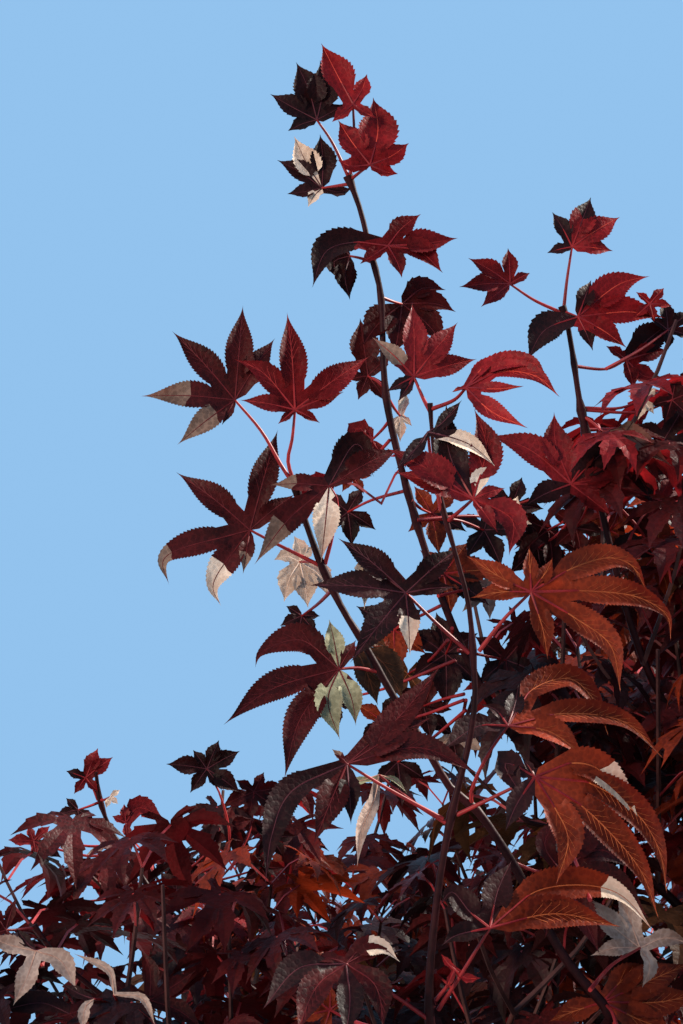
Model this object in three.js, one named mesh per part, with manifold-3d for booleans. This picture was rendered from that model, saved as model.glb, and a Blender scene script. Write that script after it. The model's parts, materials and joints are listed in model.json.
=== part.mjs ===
// Potted Japanese maple, a young patio tree of about 1.9 m with its pot.
// Millimetres, +Z up, the origin at the middle of the pot's flat underside.
import * as THREE from 'three';
import { mergeVertices } from 'three/addons/utils/BufferGeometryUtils.js';
import Module from 'manifold-3d';

const wasm = await Module();
wasm.setup();

const UP = new THREE.Vector3(0, 0, 1);
const CLEARANCE = 0.3;
const WELD = 0.001;
const SNAP_GRID = 0.002;
const SLIVER = 0.02;

// Pot and soil
const POT_HEIGHT = 410;
const POT_FOOT_RADIUS = 188;
const POT_RIM_RADIUS = 262;
const POT_WALL = 16;
const POT_FLOOR = 24;
const RIM_BAND_HEIGHT = 48;
const RIM_BAND_STEP = 9;
const POT_SIDES = 28;
const SOIL_BELOW_RIM = 36;
const SOIL_MOUND = 12;
const SOIL_FLAT_RADIUS = 74;

// Trunk
const TRUNK_FOOT = new THREE.Vector3(0, 0, POT_HEIGHT - SOIL_BELOW_RIM + SOIL_MOUND + CLEARANCE);
const TRUNK_FORK = new THREE.Vector3(22, 26, 650);
const TRUNK_SWAY = 14;
const TRUNK_UPRIGHT = 30;
const TRUNK_SIDES = 15;
const TRUNK_STEPS = 8;
const TRUNK_RADIUS = 31;
const TRUNK_FORK_RADIUS = 22;
const FLARE_RADIUS = 26;
const FLARE_HEIGHT = 0.2;
const FLARE_LOBES = 5;
const FLARE_LOBE_DEPTH = 0.35;
const FLARE_LOBE_TURN = 0.7;
const LIMB_SAMPLES = 30;

// Crown: tiers of masses round the middle of the crown, in shares of its half width and half height.
// Each tier's boughs leave the trunk, or the nearest upper bough, at a share of its length, and bow out.
const CROWN_CENTRE = new THREE.Vector3(10, 60, 1330);
const CROWN_LEAN = new THREE.Vector3(150, 40, 0);
const CROWN_HALF_WIDTH = 640;
const CROWN_HALF_HEIGHT = 530;
const TIERS = [
  { name: 'low', count: 5, turn: 15, out: 0.54, height: -0.52, wide: 0.46, tall: 0.46 },
  { name: 'middle', count: 6, turn: 40, out: 0.58, height: -0.08, wide: 0.44, tall: 0.46 },
  { name: 'upper', count: 4, turn: 50, out: 0.36, height: 0.48, wide: 0.39, tall: 0.46 },
  { name: 'top', count: 1, turn: 0, out: 0.06, height: 0.62, wide: 0.36, tall: 0.38 },
];
const BOUGHS = {
  low: { on: 'trunk', from: 0.72, apart: 0.05, bow: 20, radius: 11 },
  middle: { on: 'upper', from: 0.3, apart: 0.16, bow: 24, radius: 12 },
  upper: { on: 'trunk', from: 0.985, apart: 0, bow: 22, radius: 15 },
  top: { on: 'trunk', from: 0.995, apart: 0, bow: -10, radius: 15 },
};
const CROWN_SEED = 4021;
const MASS_SEED = 100;
const MASS_SEED_STEP = 17;
const SHOOT_SEED = 900;
const SHOOT_SEED_STEP = 31;
const LEAF_SEED_STEP = 7;
const TIER_JITTER = 0.05;
const TURN_JITTER = 9;
const NEIGHBOUR_SHARE = 0.97;

// Limbs
const BOUGH_SHARE = 0.8;
const BOUGH_TIP_RADIUS = 6.5;
const BOUGH_SIDES = 5;
const BOUGH_STEPS = 5;
const STEM_SIDES = 4;
const STEM_STEPS = 4;
const BOUGH_ENTRY = 0.82;

// Stems and twigs
const STEM_RADIUS = 5;
const STEM_TIP_RADIUS = 4;
const STEM_COLLAR = 18;
const STEM_SOCKET = 2;
const STEM_SAG = 20;
const STEM_NODES = 4;
const STEM_FIRST_NODE = 0.34;
const STEM_LAST_NODE = 0.99;
const STEM_OUT = 0.45;
const STEM_UP = 0.4;
const TWIG_STEP = 22;
const TWIG_FEWEST_POINTS = 4;
const TWIG_LONGEST = 260;
const TWIG_STEPS = 1;
const TWIG_SIDES = 3;
const TWIG_RADIUS = 3.7;
const TWIG_TIP_RADIUS = 3.2;
const TWIG_SHARE = 0.62;
const TWIG_LIFT = 0.06;
const TWIG_TURN_SPREAD = 50;
const TWIG_FORWARD = 0.35;
const TWIG_FORWARD_SPREAD = 0.3;
const LIMB_SPARE = 13;

// Leaves: five lobes, a few of them larger than life where they stand for a spray
const CROWN_BLADE = 102;
const SHOOT_BLADE = 54;
const BLADE_TRIES = [1, 0.82, 0.66];
const STALK_SUNK = 0.5;
const LEAF_THICKNESS = 4.6;
const LEAF_DROOP = 0.2;
const LEAF_INTERNODE = 42;
const LEAF_FORWARD = 0.55;
const LEAF_RISE = 0.25;
const LEAF_TURN_SPREAD = 20;
const STALK_LENGTH = 0.4;
const STALK_SPREAD = 0.25;
const NOD = 0.3;
const NOD_SPREAD = 0.7;
const ROLL_SPREAD = 0.3;
const STALK_BEHIND = 0.5;
const REACH_SPREAD = 0.12;
const HUB_FORWARD = 0.1;
const NEIGHBOUR_REACH = 2.2;
const TWIG_END = 4;
const OUTLINE_TURNS = [0, 25, 47, 72, 100, 155];
const OUTLINE_REACH = [1, 0.44, 0.92, 0.36, 0.66, 0.16];
const OUTLINE_POINTS = 12;

// Long shoots that stand proud of the crown: where each one's tip is, and which bough it grows from
const SHOOT_HALF_WIDTH = 100;
const SHOOT_INTERNODE = 58;
const SHOOTS = [
  { name: 'shoot_front', bough: 'bough_middle_4', along: 0.86,
    elbow: [-384, -382, 1392], tip: [-384, -428, 1641] },
  { name: 'shoot_behind_front', bough: 'bough_middle_4', along: 0.94,
    elbow: [-318, -338, 1412], tip: [-439, -373, 1617] },
  { name: 'shoot_highest', bough: 'bough_upper_3', along: 0.86,
    elbow: [-388, -250, 1600], tip: [-420, -283, 1806] },
  { name: 'shoot_front_right', bough: 'bough_upper_3', along: 0.94,
    elbow: [-292, -222, 1600], tip: [-318, -240, 1760] },
  { name: 'shoot_right', bough: 'bough_upper_4', along: 0.92,
    elbow: [330, -190, 1600], tip: [378, -220, 1770] },
  { name: 'shoot_back', bough: 'bough_upper_1', along: 0.92,
    elbow: [270, 350, 1600], tip: [300, 400, 1780] },
  { name: 'shoot_back_left', bough: 'bough_upper_2', along: 0.92,
    elbow: [-190, 320, 1590], tip: [-226, 350, 1750] },
  { name: 'shoot_left', bough: 'bough_middle_3', along: 0.92,
    elbow: [-478, -22, 1400], tip: [-562, -50, 1512] },
  { name: 'shoot_low_left', bough: 'bough_middle_4', along: 0.78,
    elbow: [-490, -205, 1330], tip: [-572, -202, 1432] },
];

const BARK = new THREE.MeshStandardMaterial({ color: 0x5a4038, roughness: 0.85, metalness: 0 });
const FOLIAGE = new THREE.MeshStandardMaterial({ color: 0x5b161c, roughness: 0.6, metalness: 0 });
const TERRACOTTA = new THREE.MeshStandardMaterial({ color: 0xa8583a, roughness: 0.85, metalness: 0 });
const POTTING_MIX = new THREE.MeshStandardMaterial({ color: 0x2e221b, roughness: 1, metalness: 0 });

const part = new THREE.Group();

// Repeatable random numbers from 0 to 1
function seeded(seed) {
  let state = seed;
  return () => {
    state = (state * 48271) % 2147483647;
    return state / 2147483647;
  };
}

function aim(turn, rise = 0) {
  const yaw = THREE.MathUtils.degToRad(turn);
  const pitch = THREE.MathUtils.degToRad(rise);
  const level = Math.cos(pitch);
  return new THREE.Vector3(Math.cos(yaw) * level, Math.sin(yaw) * level, Math.sin(pitch));
}

// Solids
function signedVolume(positions, corners) {
  const [a, b, c] = [new THREE.Vector3(), new THREE.Vector3(), new THREE.Vector3()];
  let volume = 0;
  for (let first = 0; first < corners.length; first += 3) {
    a.fromArray(positions, 3 * corners[first]);
    b.fromArray(positions, 3 * corners[first + 1]);
    c.fromArray(positions, 3 * corners[first + 2]);
    volume += a.dot(b.cross(c)) / 6;
  }
  return volume;
}

function solidOf(geometry) {
  const bare = geometry.clone();
  bare.deleteAttribute('normal');
  bare.deleteAttribute('uv');
  const merged = mergeVertices(bare, WELD);
  const positions = merged.attributes.position.array;
  const corners = [];
  for (let first = 0; first < merged.index.count; first += 3) {
    const [a, b, c] = [0, 1, 2].map((step) => merged.index.getX(first + step));
    if (a !== b && b !== c && c !== a) corners.push(a, b, c);
  }
  if (signedVolume(positions, corners) < 0) corners.reverse();
  return new wasm.Manifold(new wasm.Mesh({
    numProp: 3,
    vertProperties: Float32Array.from(positions),
    triVerts: Uint32Array.from(corners),
  }));
}

// The largest outer body: a sealed hollow is filled and a loose scrap is dropped
function wholeBody(solid) {
  return solid.decompose().sort((one, other) => other.volume() - one.volume())[0];
}

function geometryOf(solid) {
  const { vertProperties, triVerts } = solid.getMesh();
  const geometry = new THREE.BufferGeometry();
  geometry.setAttribute('position', new THREE.BufferAttribute(Float32Array.from(vertProperties), 3));
  geometry.setIndex(Array.from(triVerts));
  return geometry;
}

// The whole body without slivers, its corners moved to a fine grid, so that no two lie nearer than its step
function settled(solid) {
  const geometry = geometryOf(wholeBody(solid).simplify(SLIVER));
  const places = geometry.attributes.position;
  for (let index = 0; index < places.array.length; index += 1) {
    places.array[index] = Math.round(places.array[index] / SNAP_GRID) * SNAP_GRID;
  }
  return wholeBody(solidOf(geometry));
}

function everyEdgeJoinsTwoFaces(solid) {
  const { vertProperties, triVerts } = solid.getMesh();
  const nameOf = (corner) => vertProperties.slice(3 * corner, 3 * corner + 3).join();
  const counts = new Map();
  for (let first = 0; first < triVerts.length; first += 3) {
    const names = [0, 1, 2].map((step) => nameOf(triVerts[first + step]));
    for (const step of [0, 1, 2]) {
      const edge = [names[step], names[(step + 1) % 3]].sort().join('|');
      counts.set(edge, (counts.get(edge) ?? 0) + 1);
    }
  }
  return [...counts.values()].every((count) => count === 2);
}

function addPiece(name, solid, material) {
  const mesh = new THREE.Mesh(geometryOf(solid), material);
  mesh.geometry.computeVertexNormals();
  mesh.name = name;
  part.add(mesh);
}

// A round body along a path, with its radius given by how far along and which way round
function limbSolid(path, radiusAt, sides, steps) {
  const geometry = new THREE.CylinderGeometry(1, 1, 1, sides, steps);
  const places = geometry.attributes.position;
  const frames = path.computeFrenetFrames(steps, false);
  const offset = new THREE.Vector3();
  for (let index = 0; index < places.count; index += 1) {
    offset.fromBufferAttribute(places, index);
    const step = Math.round((offset.y + 0.5) * steps);
    const radius = radiusAt(step / steps, Math.atan2(offset.z, offset.x));
    const place = path.getPointAt(step / steps);
    place.addScaledVector(frames.normals[step], offset.x * radius);
    place.addScaledVector(frames.binormals[step], offset.z * radius);
    places.setXYZ(index, place.x, place.y, place.z);
  }
  return solidOf(geometry);
}

function taper(first, last) {
  return (along) => first + (last - first) * along;
}

// The same limb grown by the clearance, to cut its neighbours with
function limbCutter(limb) {
  const grown = (along, turn) => limb.radiusAt(along, turn) + CLEARANCE;
  const ends = [limb.path.getPointAt(0), ...limb.path.getSpacedPoints(limb.steps), limb.path.getPointAt(1)];
  ends[0].addScaledVector(limb.path.getTangentAt(0), -CLEARANCE);
  ends[ends.length - 1].addScaledVector(limb.path.getTangentAt(1), CLEARANCE);
  const lower = limbSolid(new THREE.LineCurve3(ends[0], ends[1]), () => grown(0, 0), limb.sides, 1);
  const upper = limbSolid(new THREE.LineCurve3(ends.at(-2), ends.at(-1)), () => grown(1, 0), limb.sides, 1);
  return limbSolid(limb.path, grown, limb.sides, limb.steps).add(lower).add(upper);
}

// Pot: a plain tapered pot with a banded rim and a flat underside
function potOuterRadius(height) {
  const slope = (POT_RIM_RADIUS - RIM_BAND_STEP - POT_FOOT_RADIUS) / (POT_HEIGHT - RIM_BAND_HEIGHT);
  return POT_FOOT_RADIUS + slope * height;
}

function latheSolid(profile) {
  const points = profile.map(([radius, height]) => new THREE.Vector2(radius, height));
  return solidOf(new THREE.LatheGeometry(points, POT_SIDES).rotateX(Math.PI / 2));
}

const bandFoot = POT_HEIGHT - RIM_BAND_HEIGHT;
addPiece('pot', latheSolid([
  [0, 0],
  [POT_FOOT_RADIUS, 0],
  [potOuterRadius(bandFoot), bandFoot],
  [POT_RIM_RADIUS, bandFoot],
  [POT_RIM_RADIUS, POT_HEIGHT],
  [potOuterRadius(POT_HEIGHT) - POT_WALL, POT_HEIGHT],
  [potOuterRadius(POT_FLOOR) - POT_WALL, POT_FLOOR],
  [0, POT_FLOOR],
]), TERRACOTTA);

const soilFoot = POT_FLOOR + CLEARANCE;
const soilLevel = POT_HEIGHT - SOIL_BELOW_RIM;
const soilGap = POT_WALL + 2 * CLEARANCE;
addPiece('soil', latheSolid([
  [0, soilFoot],
  [potOuterRadius(soilFoot) - soilGap, soilFoot],
  [potOuterRadius(soilLevel) - soilGap, soilLevel],
  [SOIL_FLAT_RADIUS, soilLevel + SOIL_MOUND],
  [0, soilLevel + SOIL_MOUND],
]), POTTING_MIX);

// Trunk: leans a little, swells into lobes at the soil and stops at its fork
const limbs = [];

function addLimb(name, path, radiusAt, sides, steps) {
  const limb = { name, path, radiusAt, sides, steps };
  limb.samples = path.getSpacedPoints(LIMB_SAMPLES)
    .map((point, index) => ({ point, radius: radiusAt(index / LIMB_SAMPLES, 0) }));
  limbs.push(limb);
  return limb;
}

function trunkRadius(along, turn) {
  const flare = Math.max(0, 1 - along / FLARE_HEIGHT) ** 2;
  const lobes = 1 - FLARE_LOBE_DEPTH + FLARE_LOBE_DEPTH * Math.cos(FLARE_LOBES * turn + FLARE_LOBE_TURN);
  return taper(TRUNK_RADIUS, TRUNK_FORK_RADIUS)(along) + FLARE_RADIUS * flare * lobes;
}

const trunkMiddle = TRUNK_FOOT.clone().lerp(TRUNK_FORK, 0.5);
trunkMiddle.add(new THREE.Vector3(-TRUNK_SWAY, TRUNK_SWAY / 2, 0));
const trunkRise = TRUNK_FOOT.clone().addScaledVector(UP, TRUNK_UPRIGHT);
const trunkPath = new THREE.CatmullRomCurve3([TRUNK_FOOT, trunkRise, trunkMiddle, TRUNK_FORK]);
const trunk = addLimb('trunk', trunkPath, trunkRadius, TRUNK_SIDES, TRUNK_STEPS);

// Masses of foliage: each one's space is a round body about an axis
const masses = [];

function fillOf(mass, point) {
  const offset = point.clone().sub(mass.centre);
  const along = offset.dot(mass.axis);
  const aside = Math.sqrt(Math.max(offset.lengthSq() - along * along, 0));
  return Math.hypot(along / mass.halfLength, aside / mass.halfWidth);
}

function inSpace(mass, point, share) {
  const own = fillOf(mass, point);
  const others = masses.filter((other) => other !== mass);
  return own < share && others.every((other) => own < NEIGHBOUR_SHARE * fillOf(other, point));
}

function distanceTo(limb, point) {
  return Math.min(...limb.samples.map((sample) => sample.point.distanceTo(point)));
}

function clearOfLimbs(mass, point) {
  return limbs.every((limb) => limb === mass.stem
    || limb.samples.every((sample) => sample.point.distanceTo(point) > sample.radius + LIMB_SPARE));
}

function tierMasses() {
  const random = seeded(CROWN_SEED);
  for (const tier of TIERS) {
    for (let index = 0; index < tier.count; index += 1) {
      const turn = tier.turn + (360 * index) / tier.count + TURN_JITTER * (2 * random() - 1);
      const out = tier.out + TIER_JITTER * (2 * random() - 1);
      const height = tier.height + TIER_JITTER * (2 * random() - 1);
      const outward = aim(turn);
      const centre = CROWN_CENTRE.clone().addScaledVector(outward, out * CROWN_HALF_WIDTH);
      centre.addScaledVector(CROWN_LEAN, height);
      masses.push({
        name: `foliage_${tier.name}_${index + 1}`,
        tier: tier.name,
        bough: `bough_${tier.name}_${index + 1}`,
        along: 1,
        seed: MASS_SEED + MASS_SEED_STEP * masses.length,
        outward,
        centre: centre.addScaledVector(UP, height * CROWN_HALF_HEIGHT),
        axis: UP,
        halfLength: tier.tall * CROWN_HALF_HEIGHT,
        halfWidth: tier.wide * CROWN_HALF_WIDTH,
        blade: CROWN_BLADE,
      });
    }
  }
}

// Each bough starts inside the trunk or inside the nearest upper bough, and ends where it enters its mass
function nearestUpper(mass) {
  const uppers = masses.filter((other) => other.tier === 'upper');
  return uppers.sort((one, other) => other.outward.dot(mass.outward) - one.outward.dot(mass.outward))[0];
}

function growBough(mass) {
  const rule = BOUGHS[mass.tier];
  const parent = rule.on === 'trunk' ? trunk : limbNamed(nearestUpper(mass).bough);
  const taken = limbs.filter((limb) => limb.parent === parent && limb.tier === mass.tier).length;
  const along = rule.from + rule.apart * taken;
  const start = parent.path.getPointAt(along);
  const toStart = start.clone().sub(mass.centre);
  const tip = mass.centre.clone().addScaledVector(toStart, BOUGH_ENTRY / fillOf(mass, start));
  const middle = start.clone().lerp(tip, 0.5)
    .addScaledVector(mass.outward, rule.bow)
    .addScaledVector(UP, -rule.bow);
  const radius = Math.min(rule.radius, BOUGH_SHARE * parent.radiusAt(along, 0));
  const path = new THREE.CatmullRomCurve3([start, middle, tip]);
  const bough = addLimb(mass.bough, path, taper(radius, BOUGH_TIP_RADIUS), BOUGH_SIDES, BOUGH_STEPS);
  Object.assign(bough, { parent, tier: mass.tier });
}

function limbNamed(name) {
  return limbs.find((limb) => limb.name === name);
}

function growBoughs() {
  for (const tier of ['upper', 'top', 'middle', 'low']) {
    masses.filter((mass) => mass.tier === tier).forEach(growBough);
  }
}

// A mass's stem goes straight on from its bough's tip before it bends; a shoot's leaves the bough's side
function growStem(mass, middle, end) {
  const bough = limbNamed(mass.bough);
  const start = bough.path.getPointAt(mass.along);
  const points = [start, middle ?? start.clone().lerp(end, 0.5).addScaledVector(UP, -STEM_SAG), end];
  if (mass.along === 1) {
    const going = bough.path.getTangentAt(1);
    points.splice(1, 0, start.clone().addScaledVector(going, STEM_COLLAR));
    start.addScaledVector(going, -STEM_SOCKET);
  }
  const path = new THREE.CatmullRomCurve3(points);
  const radiusAt = taper(STEM_RADIUS, STEM_TIP_RADIUS);
  mass.stem = addLimb(`stem_of_${mass.name}`, path, radiusAt, STEM_SIDES, STEM_STEPS);
}

function addShoots() {
  SHOOTS.forEach((shoot, index) => {
    const elbow = new THREE.Vector3(...shoot.elbow);
    const tip = new THREE.Vector3(...shoot.tip);
    masses.push({
      name: shoot.name,
      tier: 'shoot',
      bough: shoot.bough,
      along: shoot.along,
      elbow,
      tip,
      seed: SHOOT_SEED + SHOOT_SEED_STEP * index,
      outward: tip.clone().sub(CROWN_CENTRE).setZ(0).normalize(),
      centre: elbow.clone().lerp(tip, 0.5),
      axis: tip.clone().sub(elbow).normalize(),
      halfLength: 0.5 * tip.distanceTo(elbow) + SHOOT_HALF_WIDTH,
      halfWidth: SHOOT_HALF_WIDTH,
      blade: SHOOT_BLADE,
    });
  });
}

// Twigs: opposite pairs on the stem, each next pair turned a quarter, grown until near their space's edge
function growTwig(mass, start, heading) {
  const points = [start.clone()];
  const going = heading.clone().normalize();
  while ((points.length - 1) * TWIG_STEP < TWIG_LONGEST) {
    going.addScaledVector(UP, TWIG_LIFT).normalize();
    const next = points.at(-1).clone().addScaledVector(going, TWIG_STEP);
    if (!inSpace(mass, next, TWIG_SHARE) || !clearOfLimbs(mass, next)) break;
    points.push(next);
  }
  return points;
}

function acrossFrom(heading) {
  const level = Math.abs(heading.z) > 0.97 ? new THREE.Vector3(1, 0, 0) : UP;
  return new THREE.Vector3().crossVectors(heading, level).normalize();
}

function growTwigs(mass) {
  const random = seeded(mass.seed);
  const twigs = [];
  for (let node = 0; node < STEM_NODES; node += 1) {
    const along = STEM_FIRST_NODE + ((STEM_LAST_NODE - STEM_FIRST_NODE) * node) / (STEM_NODES - 1);
    const stemGoing = mass.stem.path.getTangentAt(along);
    const across = acrossFrom(stemGoing);
    const turn = 90 * node + TWIG_TURN_SPREAD * random();
    for (const side of [0, 180]) {
      const aside = across.clone().applyAxisAngle(stemGoing, THREE.MathUtils.degToRad(turn + side));
      const forward = TWIG_FORWARD + TWIG_FORWARD_SPREAD * random();
      const heading = stemGoing.clone().multiplyScalar(forward).add(aside);
      const points = growTwig(mass, onLimb(mass.stem.path, STEM_STEPS, along), heading);
      if (points.length < TWIG_FEWEST_POINTS) continue;
      twigs.push(new THREE.CatmullRomCurve3([points[0], points[points.length >> 1], points.at(-1)]));
    }
  }
  return twigs;
}

// Leaves: the stalk leaves its twig forward and aside, and the blade nods outward at its end,
// less where the stalk is steep, so that the stalk always comes from behind
function leafAt(root, heading, blade, chances) {
  const [longer, nod, roll, wider] = chances;
  const hub = root.clone().addScaledVector(heading, blade * (STALK_LENGTH + STALK_SPREAD * longer));
  const flat = heading.clone().setZ(0).normalize();
  const forward = flat.addScaledVector(UP, -NOD - NOD_SPREAD * nod).normalize();
  forward.addScaledVector(heading, Math.max(0, STALK_BEHIND - forward.dot(heading))).normalize();
  const side = new THREE.Vector3().crossVectors(UP, forward).normalize();
  side.addScaledVector(UP, ROLL_SPREAD * (roll - 0.5)).normalize();
  const face = new THREE.Vector3().crossVectors(forward, side).normalize();
  const sunk = root.clone().addScaledVector(heading, -STALK_SUNK);
  const halfway = root.clone().lerp(hub, 0.5);
  return { sunk, halfway, hub, forward, side, face, reach: blade * (1 + REACH_SPREAD * (2 * wider - 1)) };
}

function leafPoint(leaf, place) {
  const step = Math.abs(place);
  const turn = Math.sign(place) * THREE.MathUtils.degToRad(OUTLINE_TURNS[step]);
  const reach = OUTLINE_REACH[step];
  return leaf.hub.clone()
    .addScaledVector(leaf.forward, leaf.reach * reach * Math.cos(turn))
    .addScaledVector(leaf.side, leaf.reach * reach * Math.sin(turn))
    .addScaledVector(leaf.face, -leaf.reach * LEAF_DROOP * reach * reach);
}

// One thin body: a sphere of two rows flattened to the leaf's outline, its back point drawn out to a stalk
function leafSolid(leaf, stalkEnd) {
  const geometry = new THREE.SphereGeometry(1, OUTLINE_POINTS, 2);
  const places = geometry.attributes.position;
  for (let index = 0; index < places.count; index += 1) {
    const height = places.getY(index);
    const onOutline = Math.abs(height) < 0.5;
    const place = (index % (OUTLINE_POINTS + 1)) % OUTLINE_POINTS;
    const onBlade = place === 0 ? stalkEnd : leafPoint(leaf, place - OUTLINE_POINTS / 2);
    const middle = leaf.hub.clone().addScaledVector(leaf.forward, HUB_FORWARD * leaf.reach);
    middle.addScaledVector(leaf.face, Math.sign(height) * 0.5 * LEAF_THICKNESS);
    const point = onOutline ? onBlade : middle;
    places.setXYZ(index, point.x, point.y, point.z);
  }
  return solidOf(geometry);
}

// A leaf fits where it stays in its space, clear of the limbs and of the leaves that are already there
function leafFits(mass, leaf, others, carrier, wood) {
  const marks = [-4, -2, 0, 2, 4].map((place) => leafPoint(leaf, place));
  const places = [...marks, ...marks.map((mark) => mark.clone().lerp(leaf.hub, 0.5)), leaf.hub];
  if (!places.every((point) => inSpace(mass, point, 1) && clearOfLimbs(mass, point))) return false;
  leaf.solid = leafSolid(leaf, leaf.sunk);
  const blade = leafSolid(leaf, leaf.halfway);
  if (!carrier.intersect(blade).isEmpty()) return false;
  const reach = NEIGHBOUR_REACH * mass.blade;
  const near = others.filter((other) => other.hub.distanceTo(leaf.hub) < reach).map((other) => other.solid);
  const cutters = limbs
    .filter((limb) => limb !== mass.stem && distanceTo(limb, leaf.hub) < reach)
    .map((limb) => limb.cutter);
  return [...near, ...wood, ...cutters].every((solid) => solid.intersect(leaf.solid).isEmpty());
}

// A pair of leaves at a point of a twig, one to each side
function leafPair(mass, point, going, turn, random, leaves, carrier, wood) {
  const across = acrossFrom(going).applyAxisAngle(going, THREE.MathUtils.degToRad(turn));
  for (const side of [1, -1]) {
    const heading = going.clone().multiplyScalar(LEAF_FORWARD)
      .addScaledVector(across, side)
      .addScaledVector(UP, LEAF_RISE);
    const chances = [random(), random(), random(), random()];
    heading.normalize();
    const sizes = BLADE_TRIES.map((share) => leafAt(point, heading, share * mass.blade, chances));
    const fitting = sizes.find((leaf) => leafFits(mass, leaf, leaves, carrier, wood));
    if (fitting) leaves.push(fitting);
  }
}

function twigLeaves(mass, twigs) {
  const random = seeded(mass.seed + LEAF_SEED_STEP);
  const leaves = [];
  const wood = [...twigs.map(twigSolid), stemSolid(mass)];
  for (const [order, twig] of twigs.entries()) {
    const others = wood.filter((solid, place) => place !== order);
    const length = twig.getLength();
    for (let distance = length - TWIG_END; distance > LEAF_INTERNODE; distance -= LEAF_INTERNODE) {
      const point = onLimb(twig, TWIG_STEPS, distance / length);
      const turn = LEAF_TURN_SPREAD * (2 * random() - 1);
      leafPair(mass, point, twig.getTangentAt(distance / length), turn, random, leaves, wood[order], others);
    }
  }
  return leaves;
}

function shootLeaves(mass) {
  const random = seeded(mass.seed);
  const leaves = [];
  const length = mass.stem.path.getLength();
  const pairs = Math.floor(mass.tip.distanceTo(mass.elbow) / SHOOT_INTERNODE) + 1;
  for (let pair = 0; pair < pairs; pair += 1) {
    const along = 1 - (pair * SHOOT_INTERNODE + TWIG_END) / length;
    const point = onLimb(mass.stem.path, STEM_STEPS, along);
    const going = mass.stem.path.getTangentAt(along);
    leafPair(mass, point, going, 90 * pair, random, leaves, stemSolid(mass), []);
  }
  return leaves;
}

function stemSolid(mass) {
  return limbSolid(mass.stem.path, mass.stem.radiusAt, STEM_SIDES, STEM_STEPS);
}

function twigSolid(twig) {
  return limbSolid(twig, taper(TWIG_RADIUS, TWIG_TIP_RADIUS), TWIG_SIDES, TWIG_STEPS);
}

// A point of a limb's own straight-sided body, which its curve passes a little beside
function onLimb(path, steps, along) {
  const step = Math.min(Math.floor(along * steps), steps - 1);
  const from = path.getPointAt(step / steps);
  return from.lerp(path.getPointAt((step + 1) / steps), along * steps - step);
}

tierMasses();
growBoughs();
addShoots();
for (const mass of masses) {
  const spread = mass.centre.clone()
    .addScaledVector(mass.outward, STEM_OUT * mass.halfWidth)
    .addScaledVector(UP, STEM_UP * mass.halfLength);
  growStem(mass, mass.elbow, mass.tip ?? spread);
}

// Trunk and boughs, each cut clear of those before it, then each mass joined round its stem
function cutClear(limb, solid) {
  const before = limbs.slice(0, limbs.indexOf(limb));
  return settled(before.reduce((clear, other) => clear.subtract(other.cutter), solid));
}

// A leaf is left off where its stalk would meet the twig in a pinched edge
function withLeaf(body, leaf) {
  const joined = settled(body.add(leaf.solid));
  return everyEdgeJoinsTwoFaces(joined) ? joined : body;
}

for (const limb of limbs) limb.cutter = limbCutter(limb);

for (const limb of limbs.filter((one) => !one.name.startsWith('stem_of_'))) {
  addPiece(limb.name, cutClear(limb, limbSolid(limb.path, limb.radiusAt, limb.sides, limb.steps)), BARK);
}

for (const mass of masses) {
  const twigs = mass.tier === 'shoot' ? [] : growTwigs(mass);
  const leaves = mass.tier === 'shoot' ? shootLeaves(mass) : twigLeaves(mass, twigs);
  const wood = cutClear(mass.stem, wasm.Manifold.union([stemSolid(mass), ...twigs.map(twigSolid)]));
  addPiece(mass.name, leaves.reduce(withLeaf, wood), FOLIAGE);
}

export default part;
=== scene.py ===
"""Potted Japanese maple: bark, twigs, leaves, pot and soil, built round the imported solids.

Everything is worked out in millimetres, as in the part's source, and turned to metres as each mesh is made.
"""
import json
import math

import bpy
import numpy as np
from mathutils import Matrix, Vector, noise

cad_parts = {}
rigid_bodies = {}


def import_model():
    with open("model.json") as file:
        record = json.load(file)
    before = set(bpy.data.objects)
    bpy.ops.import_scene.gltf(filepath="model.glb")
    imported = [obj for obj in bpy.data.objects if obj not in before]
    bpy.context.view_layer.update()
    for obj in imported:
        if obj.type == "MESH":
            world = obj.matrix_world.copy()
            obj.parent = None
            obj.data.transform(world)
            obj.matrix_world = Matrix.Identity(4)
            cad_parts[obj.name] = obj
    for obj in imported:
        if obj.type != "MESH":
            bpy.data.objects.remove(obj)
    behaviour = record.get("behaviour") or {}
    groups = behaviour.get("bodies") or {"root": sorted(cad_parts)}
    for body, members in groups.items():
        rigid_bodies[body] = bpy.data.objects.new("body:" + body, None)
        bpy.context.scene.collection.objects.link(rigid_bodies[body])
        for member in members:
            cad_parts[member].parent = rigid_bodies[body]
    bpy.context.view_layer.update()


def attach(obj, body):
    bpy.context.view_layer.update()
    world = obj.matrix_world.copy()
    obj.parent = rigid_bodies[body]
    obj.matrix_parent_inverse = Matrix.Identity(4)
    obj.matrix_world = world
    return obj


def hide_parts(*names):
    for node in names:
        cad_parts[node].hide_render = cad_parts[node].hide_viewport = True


MM = 0.001

# Meshes: the most triangles in one piece, and the angle from which an edge stays sharp
MOST_TRIANGLES = 190_000
SHARP_EDGE = math.radians(70)

# Camera: the photograph's close view of the front left of the crown, looking a little up
PICTURE = (683, 1024)
EYE = np.array([-420.0, -1208.0, 1460.0])
RISE = math.radians(10)
LENS = 70
SENSOR = 36
CLIP_METRES = (0.02, 60)
PIXELS_PER_TANGENT = PICTURE[1] * LENS / SENSOR
RIGHT = np.array([1.0, 0.0, 0.0])
AHEAD = np.array([0.0, math.cos(RISE), math.sin(RISE)])
ABOVE = np.array([0.0, -math.sin(RISE), math.cos(RISE)])
UP = np.array([0.0, 0.0, 1.0])

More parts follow.
